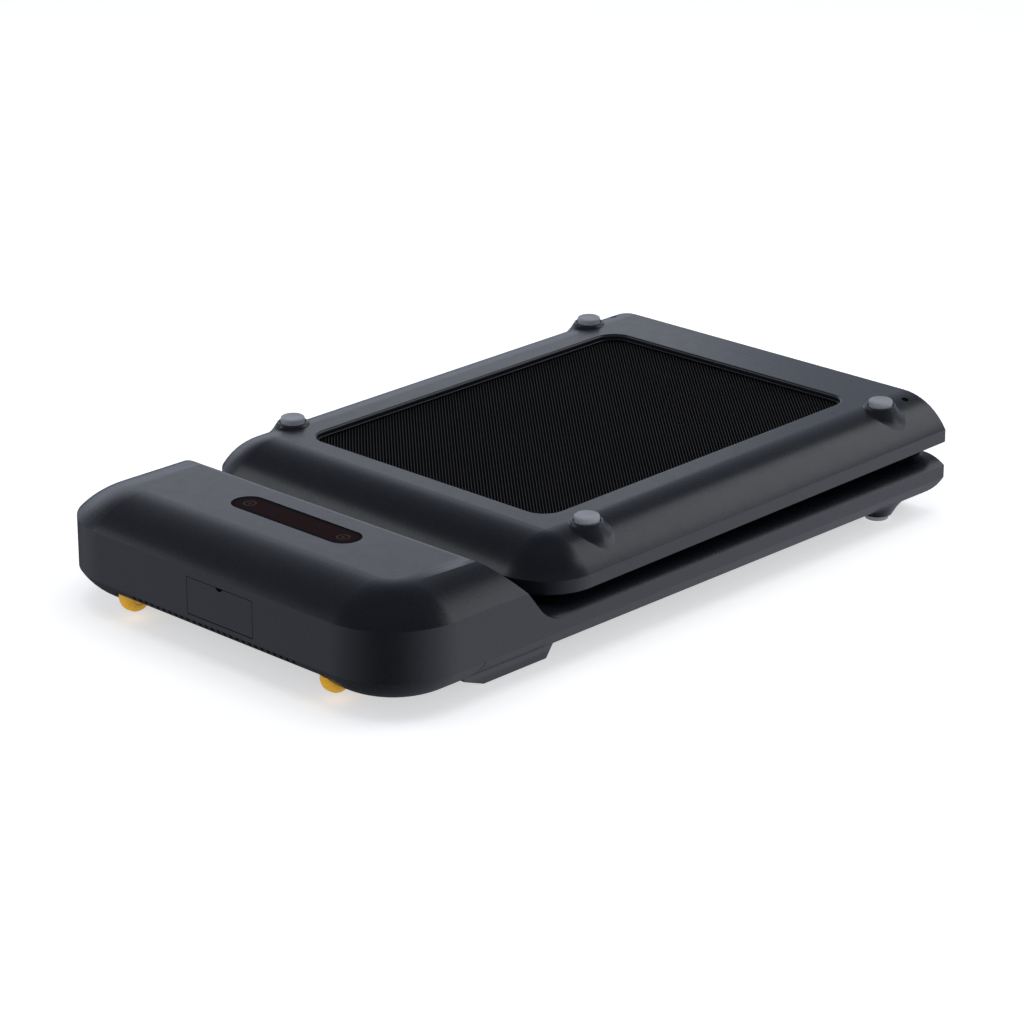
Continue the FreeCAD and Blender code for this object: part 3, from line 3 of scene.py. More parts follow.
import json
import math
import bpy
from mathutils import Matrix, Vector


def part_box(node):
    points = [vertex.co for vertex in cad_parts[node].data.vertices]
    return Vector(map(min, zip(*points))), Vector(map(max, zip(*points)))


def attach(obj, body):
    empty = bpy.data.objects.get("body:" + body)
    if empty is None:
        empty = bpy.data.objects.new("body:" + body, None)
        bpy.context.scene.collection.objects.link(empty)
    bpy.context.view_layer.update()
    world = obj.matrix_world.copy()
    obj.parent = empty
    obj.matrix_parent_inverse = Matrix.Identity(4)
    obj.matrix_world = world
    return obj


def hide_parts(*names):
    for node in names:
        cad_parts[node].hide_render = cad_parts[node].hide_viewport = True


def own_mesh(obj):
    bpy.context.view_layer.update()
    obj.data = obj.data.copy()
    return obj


bl_info = {
    "name": "Folding walking pad",
    "version": (1, 0, 0),
    "blender": (4, 5, 0),
    "location": "View3D > Sidebar > Walking pad",
    "description": "Finishes and fine pieces of a walking pad that folds in half",
    "category": "Object",
}

import bmesh
import bpy
from bpy.props import FloatProperty, FloatVectorProperty, IntProperty, PointerProperty
from mathutils import Matrix, Vector

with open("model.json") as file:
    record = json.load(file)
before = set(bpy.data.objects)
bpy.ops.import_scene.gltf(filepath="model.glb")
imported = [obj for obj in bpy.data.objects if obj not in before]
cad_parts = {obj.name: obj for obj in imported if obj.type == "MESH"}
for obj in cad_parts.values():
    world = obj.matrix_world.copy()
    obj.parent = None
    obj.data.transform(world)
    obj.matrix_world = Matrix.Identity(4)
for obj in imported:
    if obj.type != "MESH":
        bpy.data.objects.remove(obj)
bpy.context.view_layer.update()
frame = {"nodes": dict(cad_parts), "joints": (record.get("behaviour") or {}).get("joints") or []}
JOINTS = {joint["name"]: joint for joint in frame["joints"]}

# Fold joint, and the moves between the flat pad and the folded one
FOLD_POINT = Vector(JOINTS["fold"]["pos_m"])
FOLD_ANGLE = math.radians(JOINTS["fold"]["range_deg"][1])
FOLDED = (
    Matrix.Translation(FOLD_POINT)
    @ Matrix.Rotation(FOLD_ANGLE, 4, -Vector(JOINTS["fold"]["axis"]))
    @ Matrix.Translation(-FOLD_POINT)
)
UNFOLDED = FOLDED.inverted()

# Skin of the lower covers, on the flat pad
COVER_LOW = 0.0085
CROWN_START = 0.197
CROWN_RADIUS = 0.068

# Bosses under the feet
BOSS_LOW = 0.0062
BOSS_RIM = 0.0158
BOSS_SLOPE = 2.1
BOSS_EDGE = 0.0014
BLEND_LEAST = 0.0005
BLEND_MOST = 0.009
BLEND_PROUD = 0.0001
BLEND_SUNK = 0.0004

# Belt window in each lower cover, measured from the hinge along the pad
WINDOW_HALF = 0.1754
WINDOW_NEAR = 0.0646
WINDOW_FAR = 0.5487
WINDOW_CORNER = 0.026

# Stage, with the floor a little under the feet
AIM = Vector((0.0, -0.0115, 0.068))
LENS_SHIFT = (0.00856, -0.01625)
FLOOR_DROP = 0.0005
LIT_SIDE = (0.695, 0.719)
PANEL_COLOUR = (0.93, 0.96, 1.0)
# Soft panels: name, azimuth, elevation, distance, width, height, watts and whether the covers mirror it
PANELS = (
    ("back_panel", 242.0, 20.0, 3.6, 3.2, 1.2, 5.6, True),
    ("left_panel", -50.0, 26.0, 3.4, 1.4, 1.2, 9.0, True),
    ("right_panel", 155.0, 38.0, 3.4, 2.4, 1.8, 24.0, True),
    ("top_panel", 0.0, 88.0, 3.0, 3.0, 3.0, 45.0, False),
)

# Nodes by finish
SOFT_EDGE_NODES = (
    "console_top_cover",
    "console_shell",
    "belly_pan",
    "front_bottom_cover",
    "rear_bottom_cover",
    "tail_cover",
    "hatch",
)
RAIL_NODES = ("front_rail_left", "front_rail_right", "rear_rail_left", "rear_rail_right")
PAINTED_NODES = (
    "front_side_tubes",
    "front_cross_members",
    "rear_side_tubes",
    "rear_cross_members",
    "motor_saddle",
    "bearing_blocks",
    "hinge_forks",
    "hinge_tongues",
)
STEEL_NODES = (
    "hinge_pins",
    "front_guide_axles",
    "rear_guide_axles",
    "wheel_axles",
    "drive_bearings",
    "tail_bearings",
    "tail_axle",
    "tension_bolts",
    "motor_can",
    "motor_rotor",
    "drive_roller",
    "tail_roller",
)
ALUMINIUM_NODES = ("heat_sink", "motor_pulley")
ROLLER_NODES = (
    "drive_pulley",
    "front_snub_roller",
    "front_fold_roller",
    "rear_snub_roller",
    "rear_fold_roller",
)
DECK_NODES = ("front_deck", "rear_deck")
DAMPER_NODES = ("front_deck_dampers", "rear_deck_dampers", "fold_bumpers", "ribbed_belt")
BOARD_NODES = ("display_board", "controller_board")
BLACK_NODES = ("inlet_recess", "power_inlet")


class PadColours(bpy.types.PropertyGroup):
    """Colours of the pad's finishes."""

    shell: FloatVectorProperty(
        name="Shell",
        description="Satin graphite of the moulded covers",
        subtype="COLOR",
        size=4,
        default=(0.0068, 0.0075, 0.0098, 1.0),
    )
    # The belt's own dark rubber, lightened as a painted highlight on the rib crests
    belt: FloatVectorProperty(
        name="Belt",
        description="Crests of the walking belt's ribs",
        subtype="COLOR",
        size=4,
        default=(0.03, 0.03, 0.0305, 1.0),
    )
    # Painted shade: the grooves, the rib flanks and the inner side get a near-black colour, standing in for
    # the shade between the ribs
    groove_shade: FloatVectorProperty(
        name="Belt grooves",
        description="Grooves between the belt's ribs and its inner side",
        subtype="COLOR",
        size=4,
        default=(0.0032, 0.0032, 0.0033, 1.0),
    )
    foot: FloatVectorProperty(
        name="Feet",
        description="Round rubber feet",
        subtype="COLOR",
        size=4,
        default=(0.3, 0.3, 0.31, 1.0),
    )
    wheel: FloatVectorProperty(
        name="Wheels",
        description="Transport wheels",
        subtype="COLOR",
        size=4,
        default=(0.82, 0.42, 0.004, 1.0),
    )
    lens: FloatVectorProperty(
        name="Display",
        description="Smoked window over the display",
        subtype="COLOR",
        size=4,
        default=(0.0105, 0.003, 0.0028, 1.0),
    )


class PadSizes(bpy.types.PropertyGroup):
    """Sizes of the fine pieces."""

    rib_count: IntProperty(
        name="Ribs across",
        description="Slanting belt ribs that cross one belt width of length",
        default=92,
        min=8,
    )
    rib_slant: FloatProperty(
        name="Rib slant",
        description="Angle between the belt's width and its ribs",
        subtype="ANGLE",
        default=math.radians(43.2),
    )
    rib_depth: FloatProperty(
        name="Rib depth",
        description="Depth of the grooves between belt ribs",
        unit="LENGTH",
        default=0.0006,
    )
    belt_thick: FloatProperty(
        name="Belt thickness",
        description="Thickness of the walking belt",
        unit="LENGTH",
        default=0.0018,
    )
    belt_gap: FloatProperty(
        name="Belt seat",
        description="Room between the belt and a roller",
        unit="LENGTH",
        default=0.0003,
    )
    edge_round: FloatProperty(
        name="Edge rounding",
        description="Rounding along the edges of the covers",
        unit="LENGTH",
        default=0.0007,
    )
    foot_round: FloatProperty(
        name="Foot rounding",
        description="Rounding of a foot's outer edge",
        unit="LENGTH",
        default=0.0022,
    )
    wheel_shoulder: FloatProperty(
        name="Wheel shoulder",
        description="Rounding between a wheel's tread and its sides",
        unit="LENGTH",
        default=0.0066,
    )
    rim_round: FloatProperty(
        name="Window rim",
        description="Rounding of the rim round a belt window",
        unit="LENGTH",
        default=0.0024,
    )
    rim_bead: FloatProperty(
        name="Window bead",
        description="Width of the bead at the foot of a belt window's rim",
        unit="LENGTH",
        default=0.0013,
    )


class PadStage(bpy.types.PropertyGroup):
    """Camera and floor."""

    azimuth: FloatProperty(
        name="Azimuth",
        description="Camera's turn round the pad",
        subtype="ANGLE",
        default=math.radians(44.008),
    )
    elevation: FloatProperty(
        name="Elevation",
        description="Camera's height above the horizon",
        subtype="ANGLE",
        default=math.radians(20.36),
    )
    distance: FloatProperty(
        name="Distance",
        description="Camera's distance from its aim",
        unit="LENGTH",
        default=3.7126,
    )
    focal: FloatProperty(
        name="Focal length",
        description="Camera's focal length in millimetres",
        default=123.86,
    )
    floor: FloatProperty(
        name="Floor",
        description="Length of the floor's side",
        unit="LENGTH",
        default=60.0,
    )


class Signal:
    """A node's output that turns Python sums into Math nodes."""

    def __init__(self, sheet, socket):
        self.sheet = sheet
        self.socket = socket

    def math(self, operation, *values):
        inputs = dict(enumerate((self,) + values))
        return self.sheet.node("ShaderNodeMath", {"operation": operation}, inputs)

    def __add__(self, other):
        return self.math("ADD", other)

    __radd__ = __add__

    def __sub__(self, other):
        return self.math("SUBTRACT", other)

    def __mul__(self, other):
        return self.math("MULTIPLY", other)

    __rmul__ = __mul__

    def __pow__(self, other):
        return self.math("POWER", other)

    def __abs__(self):
        return self.math("ABSOLUTE")

    def wave(self):
        return self.math("SINE")

    def below(self, edge, soft):
        """1 under the edge and 0 over it, with a soft step between."""
        inputs = {
            "Value": self,
            "From Min": edge - soft,
            "From Max": edge + soft,
            "To Min": 1.0,
            "To Max": 0.0,
        }
        return self.sheet.node("ShaderNodeMapRange", {"interpolation_type": "SMOOTHSTEP"}, inputs)


class NodeSheet:
    """A node tree that nodes are added to by type, settings and inputs."""

    def __init__(self, tree):
        self.tree = tree
        self.tree.nodes.clear()

    def node(self, kind, settings, inputs, output=0):
        made = self.tree.nodes.new(kind)
        for key, value in settings.items():
            setattr(made, key, value)
        for key, value in inputs.items():
            if isinstance(value, Signal):
                self.tree.links.new(value.socket, made.inputs[key])
            else:
                made.inputs[key].default_value = value
        return Signal(self, made.outputs[output])

    def mix(self, factor, first, second):
        inputs = {"Factor": factor, 6: first, 7: second}
        return self.node("ShaderNodeMix", {"data_type": "RGBA"}, inputs, 2)


class Finish(NodeSheet):
    """One procedural material around a Principled shader."""

    def __init__(self, name, **constants):
        self.material = bpy.data.materials.new(name)
        self.material.use_nodes = True
        super().__init__(self.material.node_tree)
        self.shader = self.tree.nodes.new("ShaderNodeBsdfPrincipled")
        output = self.tree.nodes.new("ShaderNodeOutputMaterial")
        self.tree.links.new(self.shader.outputs["BSDF"], output.inputs["Surface"])
        for socket, value in constants.items():
            self.shader.inputs[socket.replace("_", " ")].default_value = value
        self.place = self.node("ShaderNodeTexCoord", {}, {}, "Object")

    def noise(self, scale, detail=2.0, roughness=0.5, stretch=(1, 1, 1)):
        """Noise of about 0 to 1, with scale in bumps per metre."""
        place = self.place
        if stretch != (1, 1, 1):
            place = self.node("ShaderNodeVectorMath", {"operation": "MULTIPLY"}, {0: place, 1: stretch})
        inputs = {"Vector": place, "Scale": scale, "Detail": detail, "Roughness": roughness}
        return self.node("ShaderNodeTexNoise", {}, inputs, "Fac")

    def axis(self, letter):
        return self.node("ShaderNodeSeparateXYZ", {}, {0: self.place}, letter)

    def feed(self, socket, signal):
        self.tree.links.new(signal.socket, self.shader.inputs[socket])

    def bump(self, height, distance, strength=1.0):
        inputs = {"Height": height, "Distance": distance, "Strength": strength}
        self.feed("Normal", self.node("ShaderNodeBump", {}, inputs, "Normal"))


def tone(colour, factor):
    """The same colour, lighter or darker."""
    return tuple(min(1.0, part * factor) for part in colour[:3]) + (1.0,)


def moulded(name, colour, roughness, grain, scale, specular=0.5):
    """Moulded plastic or rubber with faint handling marks and a grain of a depth and a scale."""
    finish = Finish(name, Specular_IOR_Level=specular)
    cloud = finish.noise(9.0, 3.0)
    finish.feed("Base Color", finish.mix(cloud, tone(colour, 0.86), tone(colour, 1.14)))
    marks = finish.noise(55.0, 4.0, 0.6)
    finish.feed("Roughness", roughness - 0.05 + 0.1 * marks)
    finish.bump(finish.noise(scale, 2.0), grain, 0.6)
    return finish.material


def lens_finish(colour):
    """Smoked window with a near-black band of painted recess shadow round its edge, a faint dot grid behind
    it and a dim ring at each end.
    """
    low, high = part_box("display_lens")
    middle = (low + high) / 2
    radius = (high.y - low.y) / 2
    straight = (high.x - low.x) / 2 - radius
    # Width of the near-black band of painted shade that stands in for the shadow of the window's recess
    edge_shade = 0.0035
    dot_wave = math.pi / 0.0016
    dots_half = (straight - 0.012, 0.010)
    key_inset = 0.001
    key_ring = 0.0062
    key_dot = 0.0018
    finish = Finish("smoked_window", Specular_IOR_Level=0.004)
    across = finish.axis("X") - middle.x
    along = finish.axis("Y") - middle.y
    past_end = (abs(across) - straight).math("MAXIMUM", 0.0)
    from_spine = (past_end ** 2.0 + along ** 2.0) ** 0.5
    inside = from_spine.below(radius - edge_shade, 0.0003)
    dots = (across * dot_wave).wave() * (along * dot_wave).wave()
    dot_field = abs(along).below(dots_half[1], 0.001) * abs(across).below(dots_half[0], 0.002)
    cell = abs(dots) * dot_field * 0.5
    end_reach = abs(abs(across) - straight + key_inset)
    from_key = (end_reach ** 2.0 + along ** 2.0) ** 0.5
    ring = abs(from_key - key_ring).below(0.0008, 0.0003) + from_key.below(key_dot, 0.0004)
    haze = finish.noise(40.0, 3.0)
    glass = finish.mix(haze, tone(colour, 0.85), tone(colour, 1.2))
    glass = finish.mix(cell, glass, tone(colour, 1.9))
    glass = finish.mix(ring * 0.6, glass, (0.075, 0.055, 0.052, 1.0))
    # Painted shade: outside the mask the window turns near-black, standing in for the shadow of its recess.
    finish.feed("Base Color", finish.mix(inside, (0.0012, 0.0012, 0.0014, 1.0), glass))
    finish.feed("Roughness", 0.3 + 0.1 * haze)
    return finish.material


def painted_finish():
    """Black powder coat on the steel frame."""
    finish = Finish("frame_powder_coat")
    cloud = finish.noise(14.0, 3.0)
    finish.feed("Base Color", finish.mix(cloud, (0.009, 0.009, 0.0095, 1.0), (0.016, 0.016, 0.017, 1.0)))
    pebble = finish.noise(900.0, 2.0)
    finish.feed("Roughness", 0.42 + 0.16 * pebble)
    finish.bump(pebble, 0.00008, 0.7)
    return finish.material


def metal_finish(name, colour, roughness, stretch):
    """Bare metal with fine turning or drawing lines."""
    finish = Finish(name, Metallic=1.0)
    lines = finish.noise(700.0, 3.0, 0.6, stretch)
    finish.feed("Base Color", finish.mix(lines, tone(colour, 0.86), tone(colour, 1.06)))
    finish.feed("Roughness", roughness + 0.14 * lines)
    finish.bump(lines, 0.00003, 0.5)
    return finish.material


def wood_finish():
    """Phenolic faced fibre board of the decks."""
    finish = Finish("deck_board")
    grain = finish.noise(60.0, 5.0, 0.6, (1.0, 0.08, 6.0))
    finish.feed("Base Color", finish.mix(grain, (0.06, 0.032, 0.016, 1.0), (0.135, 0.08, 0.042, 1.0)))
    finish.feed("Roughness", 0.42 + 0.2 * grain)
    finish.bump(grain, 0.0001, 0.5)
    return finish.material


def board_finish():
    """Green circuit board with pale copper tracks."""
    finish = Finish("circuit_board", Coat_Weight=0.25)
    across = (finish.axis("X") * 900.0 + finish.noise(60.0, 0.0) * 6.0).wave()
    along = (finish.axis("Y") * 1100.0 + finish.noise(45.0, 0.0) * 6.0).wave()
    track = (across.math("MAXIMUM", along)).below(0.9, 0.03)
    finish.feed("Base Color", finish.mix(track, (0.05, 0.12, 0.05, 1.0), (0.006, 0.04, 0.016, 1.0)))
    finish.feed("Roughness", 0.3 + 0.2 * track)
    finish.bump(track, 0.00005, 0.5)
    return finish.material


def rocker_finish():
    """Black rocker with a short bar on one end and a ring on the other."""
    low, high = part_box("power_rocker")
    middle = (low + high) / 2
    reach = (high.z - low.z) / 2
    bar_half = (0.0006, 0.0022)
    ring_radius = 0.002
    soft = 0.0002
    finish = Finish("rocker_black", Coat_Weight=0.3)
    across = finish.axis("X") - middle.x
    up = finish.axis("Z") - middle.z
    bar = abs(across).below(bar_half[0], soft) * abs(up - reach * 0.5).below(bar_half[1], soft)
    from_ring = (across ** 2.0 + (up + reach * 0.5) ** 2.0) ** 0.5
    ring = abs(from_ring - ring_radius).below(0.0005, soft)
    mark = bar + ring
    finish.feed("Base Color", finish.mix(mark, (0.008, 0.008, 0.009, 1.0), (0.62, 0.62, 0.6, 1.0)))
    grain = finish.noise(2400.0, 2.0)
    finish.feed("Roughness", 0.3 + 0.12 * grain)
    finish.bump(grain, 0.00003, 0.5)
    return finish.material


def wheel_finish(colour):
    """Yellow moulded wheel with faint scuffs."""
    finish = Finish("wheel_yellow")
    cloud = finish.noise(35.0, 3.0)
    scuff = finish.noise(260.0, 4.0, 0.65).below(0.4, 0.06)
    body = finish.mix(cloud, tone(colour, 0.88), tone(colour, 1.08))
    finish.feed("Base Color", finish.mix(scuff * 0.18, body, tone(colour, 0.45)))
    finish.feed("Roughness", 0.36 + 0.2 * cloud)
    finish.bump(finish.noise(1800.0, 2.0), 0.00004, 0.5)
    return finish.material


def skid_finish(colour):
    """Skid block in the covers' colour over a grey rubber sole, with a near-black line of painted shade
    between them that stands in for the shadow of the gap.
    """
    sole_high = 0.0068
    shade_line_high = 0.0074
    finish = Finish("skid_block")
    height = finish.axis("Z")
    sole = height.below(sole_high, 0.0002)
    # Painted shade: a near-black line where the block meets the sole stands in for the shadow of the gap
    # between them
    joint = abs(height - shade_line_high).below(0.0006, 0.0002)
    cloud = finish.noise(30.0, 3.0)
    block = finish.mix(cloud, tone(colour, 0.9), tone(colour, 1.15))
    rubber = finish.mix(cloud, (0.03, 0.031, 0.034, 1.0), (0.045, 0.046, 0.05, 1.0))
    body = finish.mix(sole, block, rubber)
    finish.feed("Base Color", finish.mix(joint, body, (0.001, 0.001, 0.001, 1.0)))
    finish.feed("Roughness", 0.32 + 0.3 * sole)
    finish.bump(finish.noise(1100.0, 2.0), 0.00004, 0.6)
    return finish.material


def floor_finish():
    """Pale backdrop paper."""
    finish = Finish("backdrop_paper", Roughness=0.9, Specular_IOR_Level=0.1, Emission_Strength=0.56)
    fibre = finish.noise(25.0, 3.0)
    finish.feed("Base Color", finish.mix(fibre, (0.82, 0.81, 0.78, 1.0), (0.84, 0.83, 0.8, 1.0)))
    finish.shader.inputs["Emission Color"].default_value = (1.0, 1.0, 1.0, 1.0)
    return finish.material


def dress(nodes, material):
    """Puts one material on carried-over nodes."""
    for name in nodes:
        mesh = frame["nodes"][name].data
        mesh.materials.clear()
        mesh.materials.append(material)


def soften(cover, width):
    """Rounds a cover's edges with modifiers, so its own mesh stays as it is."""
    weld = cover.modifiers.new("weld", "WELD")
    weld.merge_threshold = 1e-5
    edge = cover.modifiers.new("edge", "BEVEL")
    edge.width = width
    edge.segments = 2
    edge.limit_method = "ANGLE"
    edge.angle_limit = math.radians(28)
    edge.use_clamp_overlap = True
    shade = cover.modifiers.new("shade", "WEIGHTED_NORMAL")
    shade.keep_sharp = True
    shade.weight = 60


def add_piece(name, work, materials, body, nodes=()):
    """Makes an object from a bmesh and lets it ride on a body, in place of the nodes it stands for."""
    mesh = bpy.data.meshes.new(name)
    work.to_mesh(mesh)
    work.free()
    for material in materials:
        mesh.materials.append(material)
    piece = bpy.data.objects.new(name, mesh)
    bpy.context.scene.collection.objects.link(piece)
    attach(piece, body)
    if nodes:
        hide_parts(*nodes)
    return piece


def islands(node, matrix):
    """Lowest and highest corners of each separate solid of a node, after a move."""
    work = bmesh.new()
    work.from_mesh(frame["nodes"][node].data)
    bmesh.ops.remove_doubles(work, verts=work.verts, dist=1e-6)
    left = set(work.verts)
    boxes = []
    while left:
        stack = [left.pop()]
        group = []
        while stack:
            vert = stack.pop()
            group.append(matrix @ vert.co)
            for edge in vert.link_edges:
                other = edge.other_vert(vert)
                if other in left:
                    left.discard(other)
                    stack.append(other)
        low = Vector(min(point[i] for point in group) for i in range(3))
        high = Vector(max(point[i] for point in group) for i in range(3))
        boxes.append((low, high))
    work.free()
    return sorted(boxes, key=lambda pair: (round(pair[0].y, 4), pair[0].x))


def lathe(work, profile, matrix, steps=64):
    """Turns a closed profile of (radius, height) round the local Z axis into the bmesh."""
    rings = []
    for radius, height in profile:
        if radius < 1e-7:
            rings.append([work.verts.new(matrix @ Vector((0, 0, height)))])
            continue
        ring = []
        for step in range(steps):
            angle = 2 * math.pi * step / steps
            point = Vector((radius * math.cos(angle), radius * math.sin(angle), height))
            ring.append(work.verts.new(matrix @ point))
        rings.append(ring)
    pairs = list(zip(rings, rings[1:]))
    if len(rings[0]) > 1:
        pairs.append((rings[-1], rings[0]))
    for first, second in pairs:
        for step in range(steps):
            after = (step + 1) % steps
            if len(first) == 1:
                work.faces.new((first[0], second[step], second[after]))
            elif len(second) == 1:
                work.faces.new((first[step], second[0], first[after]))
            else:
                work.faces.new((first[step], second[step], second[after], first[after]))


def sharpen(work, degrees):
    """Smooth shading with creases where faces meet at more than an angle."""
    for face in work.faces:
        face.smooth = True
    for edge in work.edges:
        if len(edge.link_faces) == 2 and edge.calc_face_angle() > math.radians(degrees):
            edge.smooth = False


def arc(centre, radius, start, end, steps):
    """Points round a centre, from one angle to another in degrees."""
    points = []
    for step in range(steps + 1):
        angle = math.radians(start + (end - start) * step / steps)
        points.append((centre[0] + radius * math.cos(angle), centre[1] + radius * math.sin(angle)))
    return points


class Route:
    """The belt's middle line in the YZ plane, measured by length from its start."""

    def __init__(self, points):
        self.points = [Vector(point) for point in points]
        self.marks = [0.0]
        for first, second in zip(self.points, self.points[1:]):
            self.marks.append(self.marks[-1] + (second - first).length)
        self.normals = []
        for index in range(len(self.points)):
            before = self.points[max(index - 1, 0)]
            after = self.points[min(index + 1, len(self.points) - 1)]
            direction = (after - before).normalized()
            self.normals.append(Vector((-direction.y, direction.x)))

    def length(self):
        return self.marks[-1]

    def at(self, distance, height):
        """The point at a length along the line, and at a height on its outer side."""
        index = 0
        while index < len(self.marks) - 2 and self.marks[index + 1] < distance:
            index += 1
        span = self.marks[index + 1] - self.marks[index]
        share = (distance - self.marks[index]) / span
        point = self.points[index].lerp(self.points[index + 1], share)
        normal = self.normals[index].lerp(self.normals[index + 1], share).normalized()
        return point + normal * height


def half_loop(fold_roller, snub_roller, end_roller, line_radius, end_radius, start):
    """One half's belt line from the hinge end of its return run to that of its top run.

    Points are (distance from the hinge, height). The line goes over the fold roller, under the
    snub roller, round the roller at the far end and back along the top.
    """
    span = Vector(snub_roller) - Vector(fold_roller)
    cross = math.degrees(math.asin(2 * line_radius / span.length) - math.atan2(span.y, span.x))
    points = [(start, fold_roller[1] + line_radius)]
    points += arc(fold_roller, line_radius, 90, 90 - cross, 14)
    points += arc(snub_roller, line_radius, 270 - cross, 270, 14)
    points += arc(end_roller, end_radius, -90, 90, 28)
    points.append((start, end_roller[1] + end_radius))
    return points


def cut(work, level, direction, clear):
    """Cuts a flat strip across at a length, and clears what lies past the cut if asked to."""
    everything = work.verts[:] + work.edges[:] + work.faces[:]
    bmesh.ops.bisect_plane(
        work,
        geom=everything,
        dist=1e-7,
        plane_co=(0, level, 0),
        plane_no=(0, direction, 0),
        clear_outer=clear,
    )


def belt_sheet(route, offset, half_width, sizes):
    """A ribbed strip of belt along a route, as a closed bmesh in the YZ frame of the route."""
    pitch = 2 * half_width / sizes.rib_count
    quarter = pitch / 4
    length = route.length()
    slant = half_width * math.tan(sizes.rib_slant)
    heights = (0.0, 0.0, -sizes.rib_depth, -sizes.rib_depth)
    work = bmesh.new()
    first = math.floor((offset - slant) / quarter) - 1
    last = math.ceil((offset + length + slant) / quarter) + 1
    before = None
    for row in range(first, last + 1):
        middle = row * quarter - offset
        height = heights[row % 4]
        pair = (
            work.verts.new((-half_width, middle + slant, height)),
            work.verts.new((half_width, middle - slant, height)),
        )
        if before:
            face = work.faces.new((before[0], before[1], pair[1], pair[0]))
            # Rib tops take the lighter painted-highlight material; flanks and grooves take the darker
            # painted-shade one
            face.material_index = 0 if row % 4 == 1 else 1
        before = pair
    cut(work, 0.0, -1, True)
    cut(work, length, 1, True)
    for level in route.marks[1:-1]:
        cut(work, level, 1, False)
    extruded = bmesh.ops.extrude_face_region(work, geom=work.faces[:], use_keep_orig=True)
    for item in extruded["geom"]:
        if isinstance(item, bmesh.types.BMVert):
            item.co.z = -sizes.belt_thick
        elif isinstance(item, bmesh.types.BMFace):
            item.material_index = 1
    for vert in work.verts:
        distance = min(max(vert.co.y, 0.0), length)
        point = route.at(distance, vert.co.z + sizes.belt_thick / 2)
        vert.co = (vert.co.x, point.x, point.y)
    bmesh.ops.recalc_face_normals(work, faces=work.faces[:])
    sharpen(work, 20)
    return work


def window_rim(near, far, sizes):
    """A ring round a belt window, rounded at its outer edge and with a bead at its foot.

    The window reaches from near to far along the pad.
    """
    corner = WINDOW_CORNER
    side = WINDOW_HALF - corner
    centres = [
        (side, far - corner, 0),
        (-side, far - corner, 90),
        (-side, near + corner, 180),
        (side, near + corner, 270),
    ]
    path = []
    for x, y, start in centres:
        for out in arc((0.0, 0.0), 1.0, start, start + 90, 12):
            path.append(((x, y), Vector(out)))
    edge = sizes.rim_round
    bead = sizes.rim_bead / 2
    overlap = 0.0003
    seat = 0.0005
    bead_start = 0.0056
    bead_middle = 0.0062
    depth = 0.0072
    profile = [(-overlap, seat), (-overlap, 0.0)]
    profile += arc((0.0, edge), edge, -90, 0, 6)
    profile += [(edge, bead_start)]
    profile += arc((edge + bead, bead_middle), bead, -90, 90, 6)
    profile += [(edge, depth), (-overlap, depth)]
    work = bmesh.new()
    rings = []
    for (x, y), out in path:
        ring = []
        for inside, rise in profile:
            point = Vector((x, y)) + out * (corner - inside)
            ring.append(work.verts.new((point.x, point.y, COVER_LOW + rise)))
        rings.append(ring)
    for first, second in zip(rings, rings[1:] + rings[:1]):
        for index in range(len(profile)):
            after = (index + 1) % len(profile)
            work.faces.new((first[index], second[index], second[after], first[after]))
    bmesh.ops.recalc_face_normals(work, faces=work.faces[:])
    sharpen(work, 35)
    return work


def crown_height(x):
    """Height of a lower cover's flat and arched skin at a distance from the middle line."""
    past = max(abs(x) - CROWN_START, 0.0)
    return COVER_LOW + CROWN_RADIUS - math.sqrt(CROWN_RADIUS ** 2 - past ** 2)


def boss_height(x, reach):
    """Height of the blend at a distance from the middle line and at a reach from a foot's axis.

    It stands a little proud of the boss, and its outer margin dips under the cover's skin.
    """
    skin = crown_height(x)
    out = max(reach - BOSS_RIM, 0.0)
    cone = BOSS_LOW + BOSS_SLOPE * out * out / (out + BOSS_EDGE)
    soft = min(max(0.9 * (skin - BOSS_LOW), BLEND_LEAST), BLEND_MOST)
    share = min(max(0.5 + 0.5 * (skin - cone) / soft, 0.0), 1.0)
    height = skin + (cone - skin) * share - soft * share * (1 - share)
    margin = min(max(1 - 4 * share, 0.0), 1.0)
    return height + BLEND_SUNK * margin - BLEND_PROUD


def boss_blend(work, centre, matrix, steps=96):
    """A thin ring over a foot's boss that runs into the cover round it in a smooth hollow."""
    wall = 0.0008
    cone_start = 0.0168
    ring_step = 0.0008
    reaches = [0.0145, 0.0155, 0.0161, 0.0165]
    reaches += [cone_start + ring_step * step for step in range(26)]
    skins = []
    for depth in (0.0, wall):
        rings = []
        for reach in reaches:
            ring = []
            for step in range(steps):
                angle = 2 * math.pi * step / steps
                x = centre.x + reach * math.cos(angle)
                y = centre.y + reach * math.sin(angle)
                ring.append(work.verts.new(matrix @ Vector((x, y, boss_height(x, reach) + depth))))
            rings.append(ring)
        skins.append(rings)
    loop = skins[0] + skins[1][::-1]
    for first, second in zip(loop, loop[1:] + loop[:1]):
        for step in range(steps):
            after = (step + 1) % steps
            work.faces.new((first[step], second[step], second[after], first[after]))


def bearing(azimuth, elevation):
    """Unit vector from the pad towards an azimuth and elevation."""
    level = math.cos(elevation)
    return Vector((math.sin(azimuth) * level, -math.cos(azimuth) * level, math.sin(elevation)))


class WALKPAD_OT_shells(bpy.types.Operator):
    """Finish the moulded covers and soften their edges"""

    bl_idname = "walkpad.shells"
    bl_label = "Covers"

    def execute(self, context):
        colours = context.scene.walkpad_colours
        material = moulded("graphite_cover", colours.shell, 0.27, grain=8e-7, scale=3200.0, specular=0.38)
        dress(SOFT_EDGE_NODES + RAIL_NODES, material)
        for name in SOFT_EDGE_NODES:
            soften(frame["nodes"][name], context.scene.walkpad_sizes.edge_round)
        return {"FINISHED"}


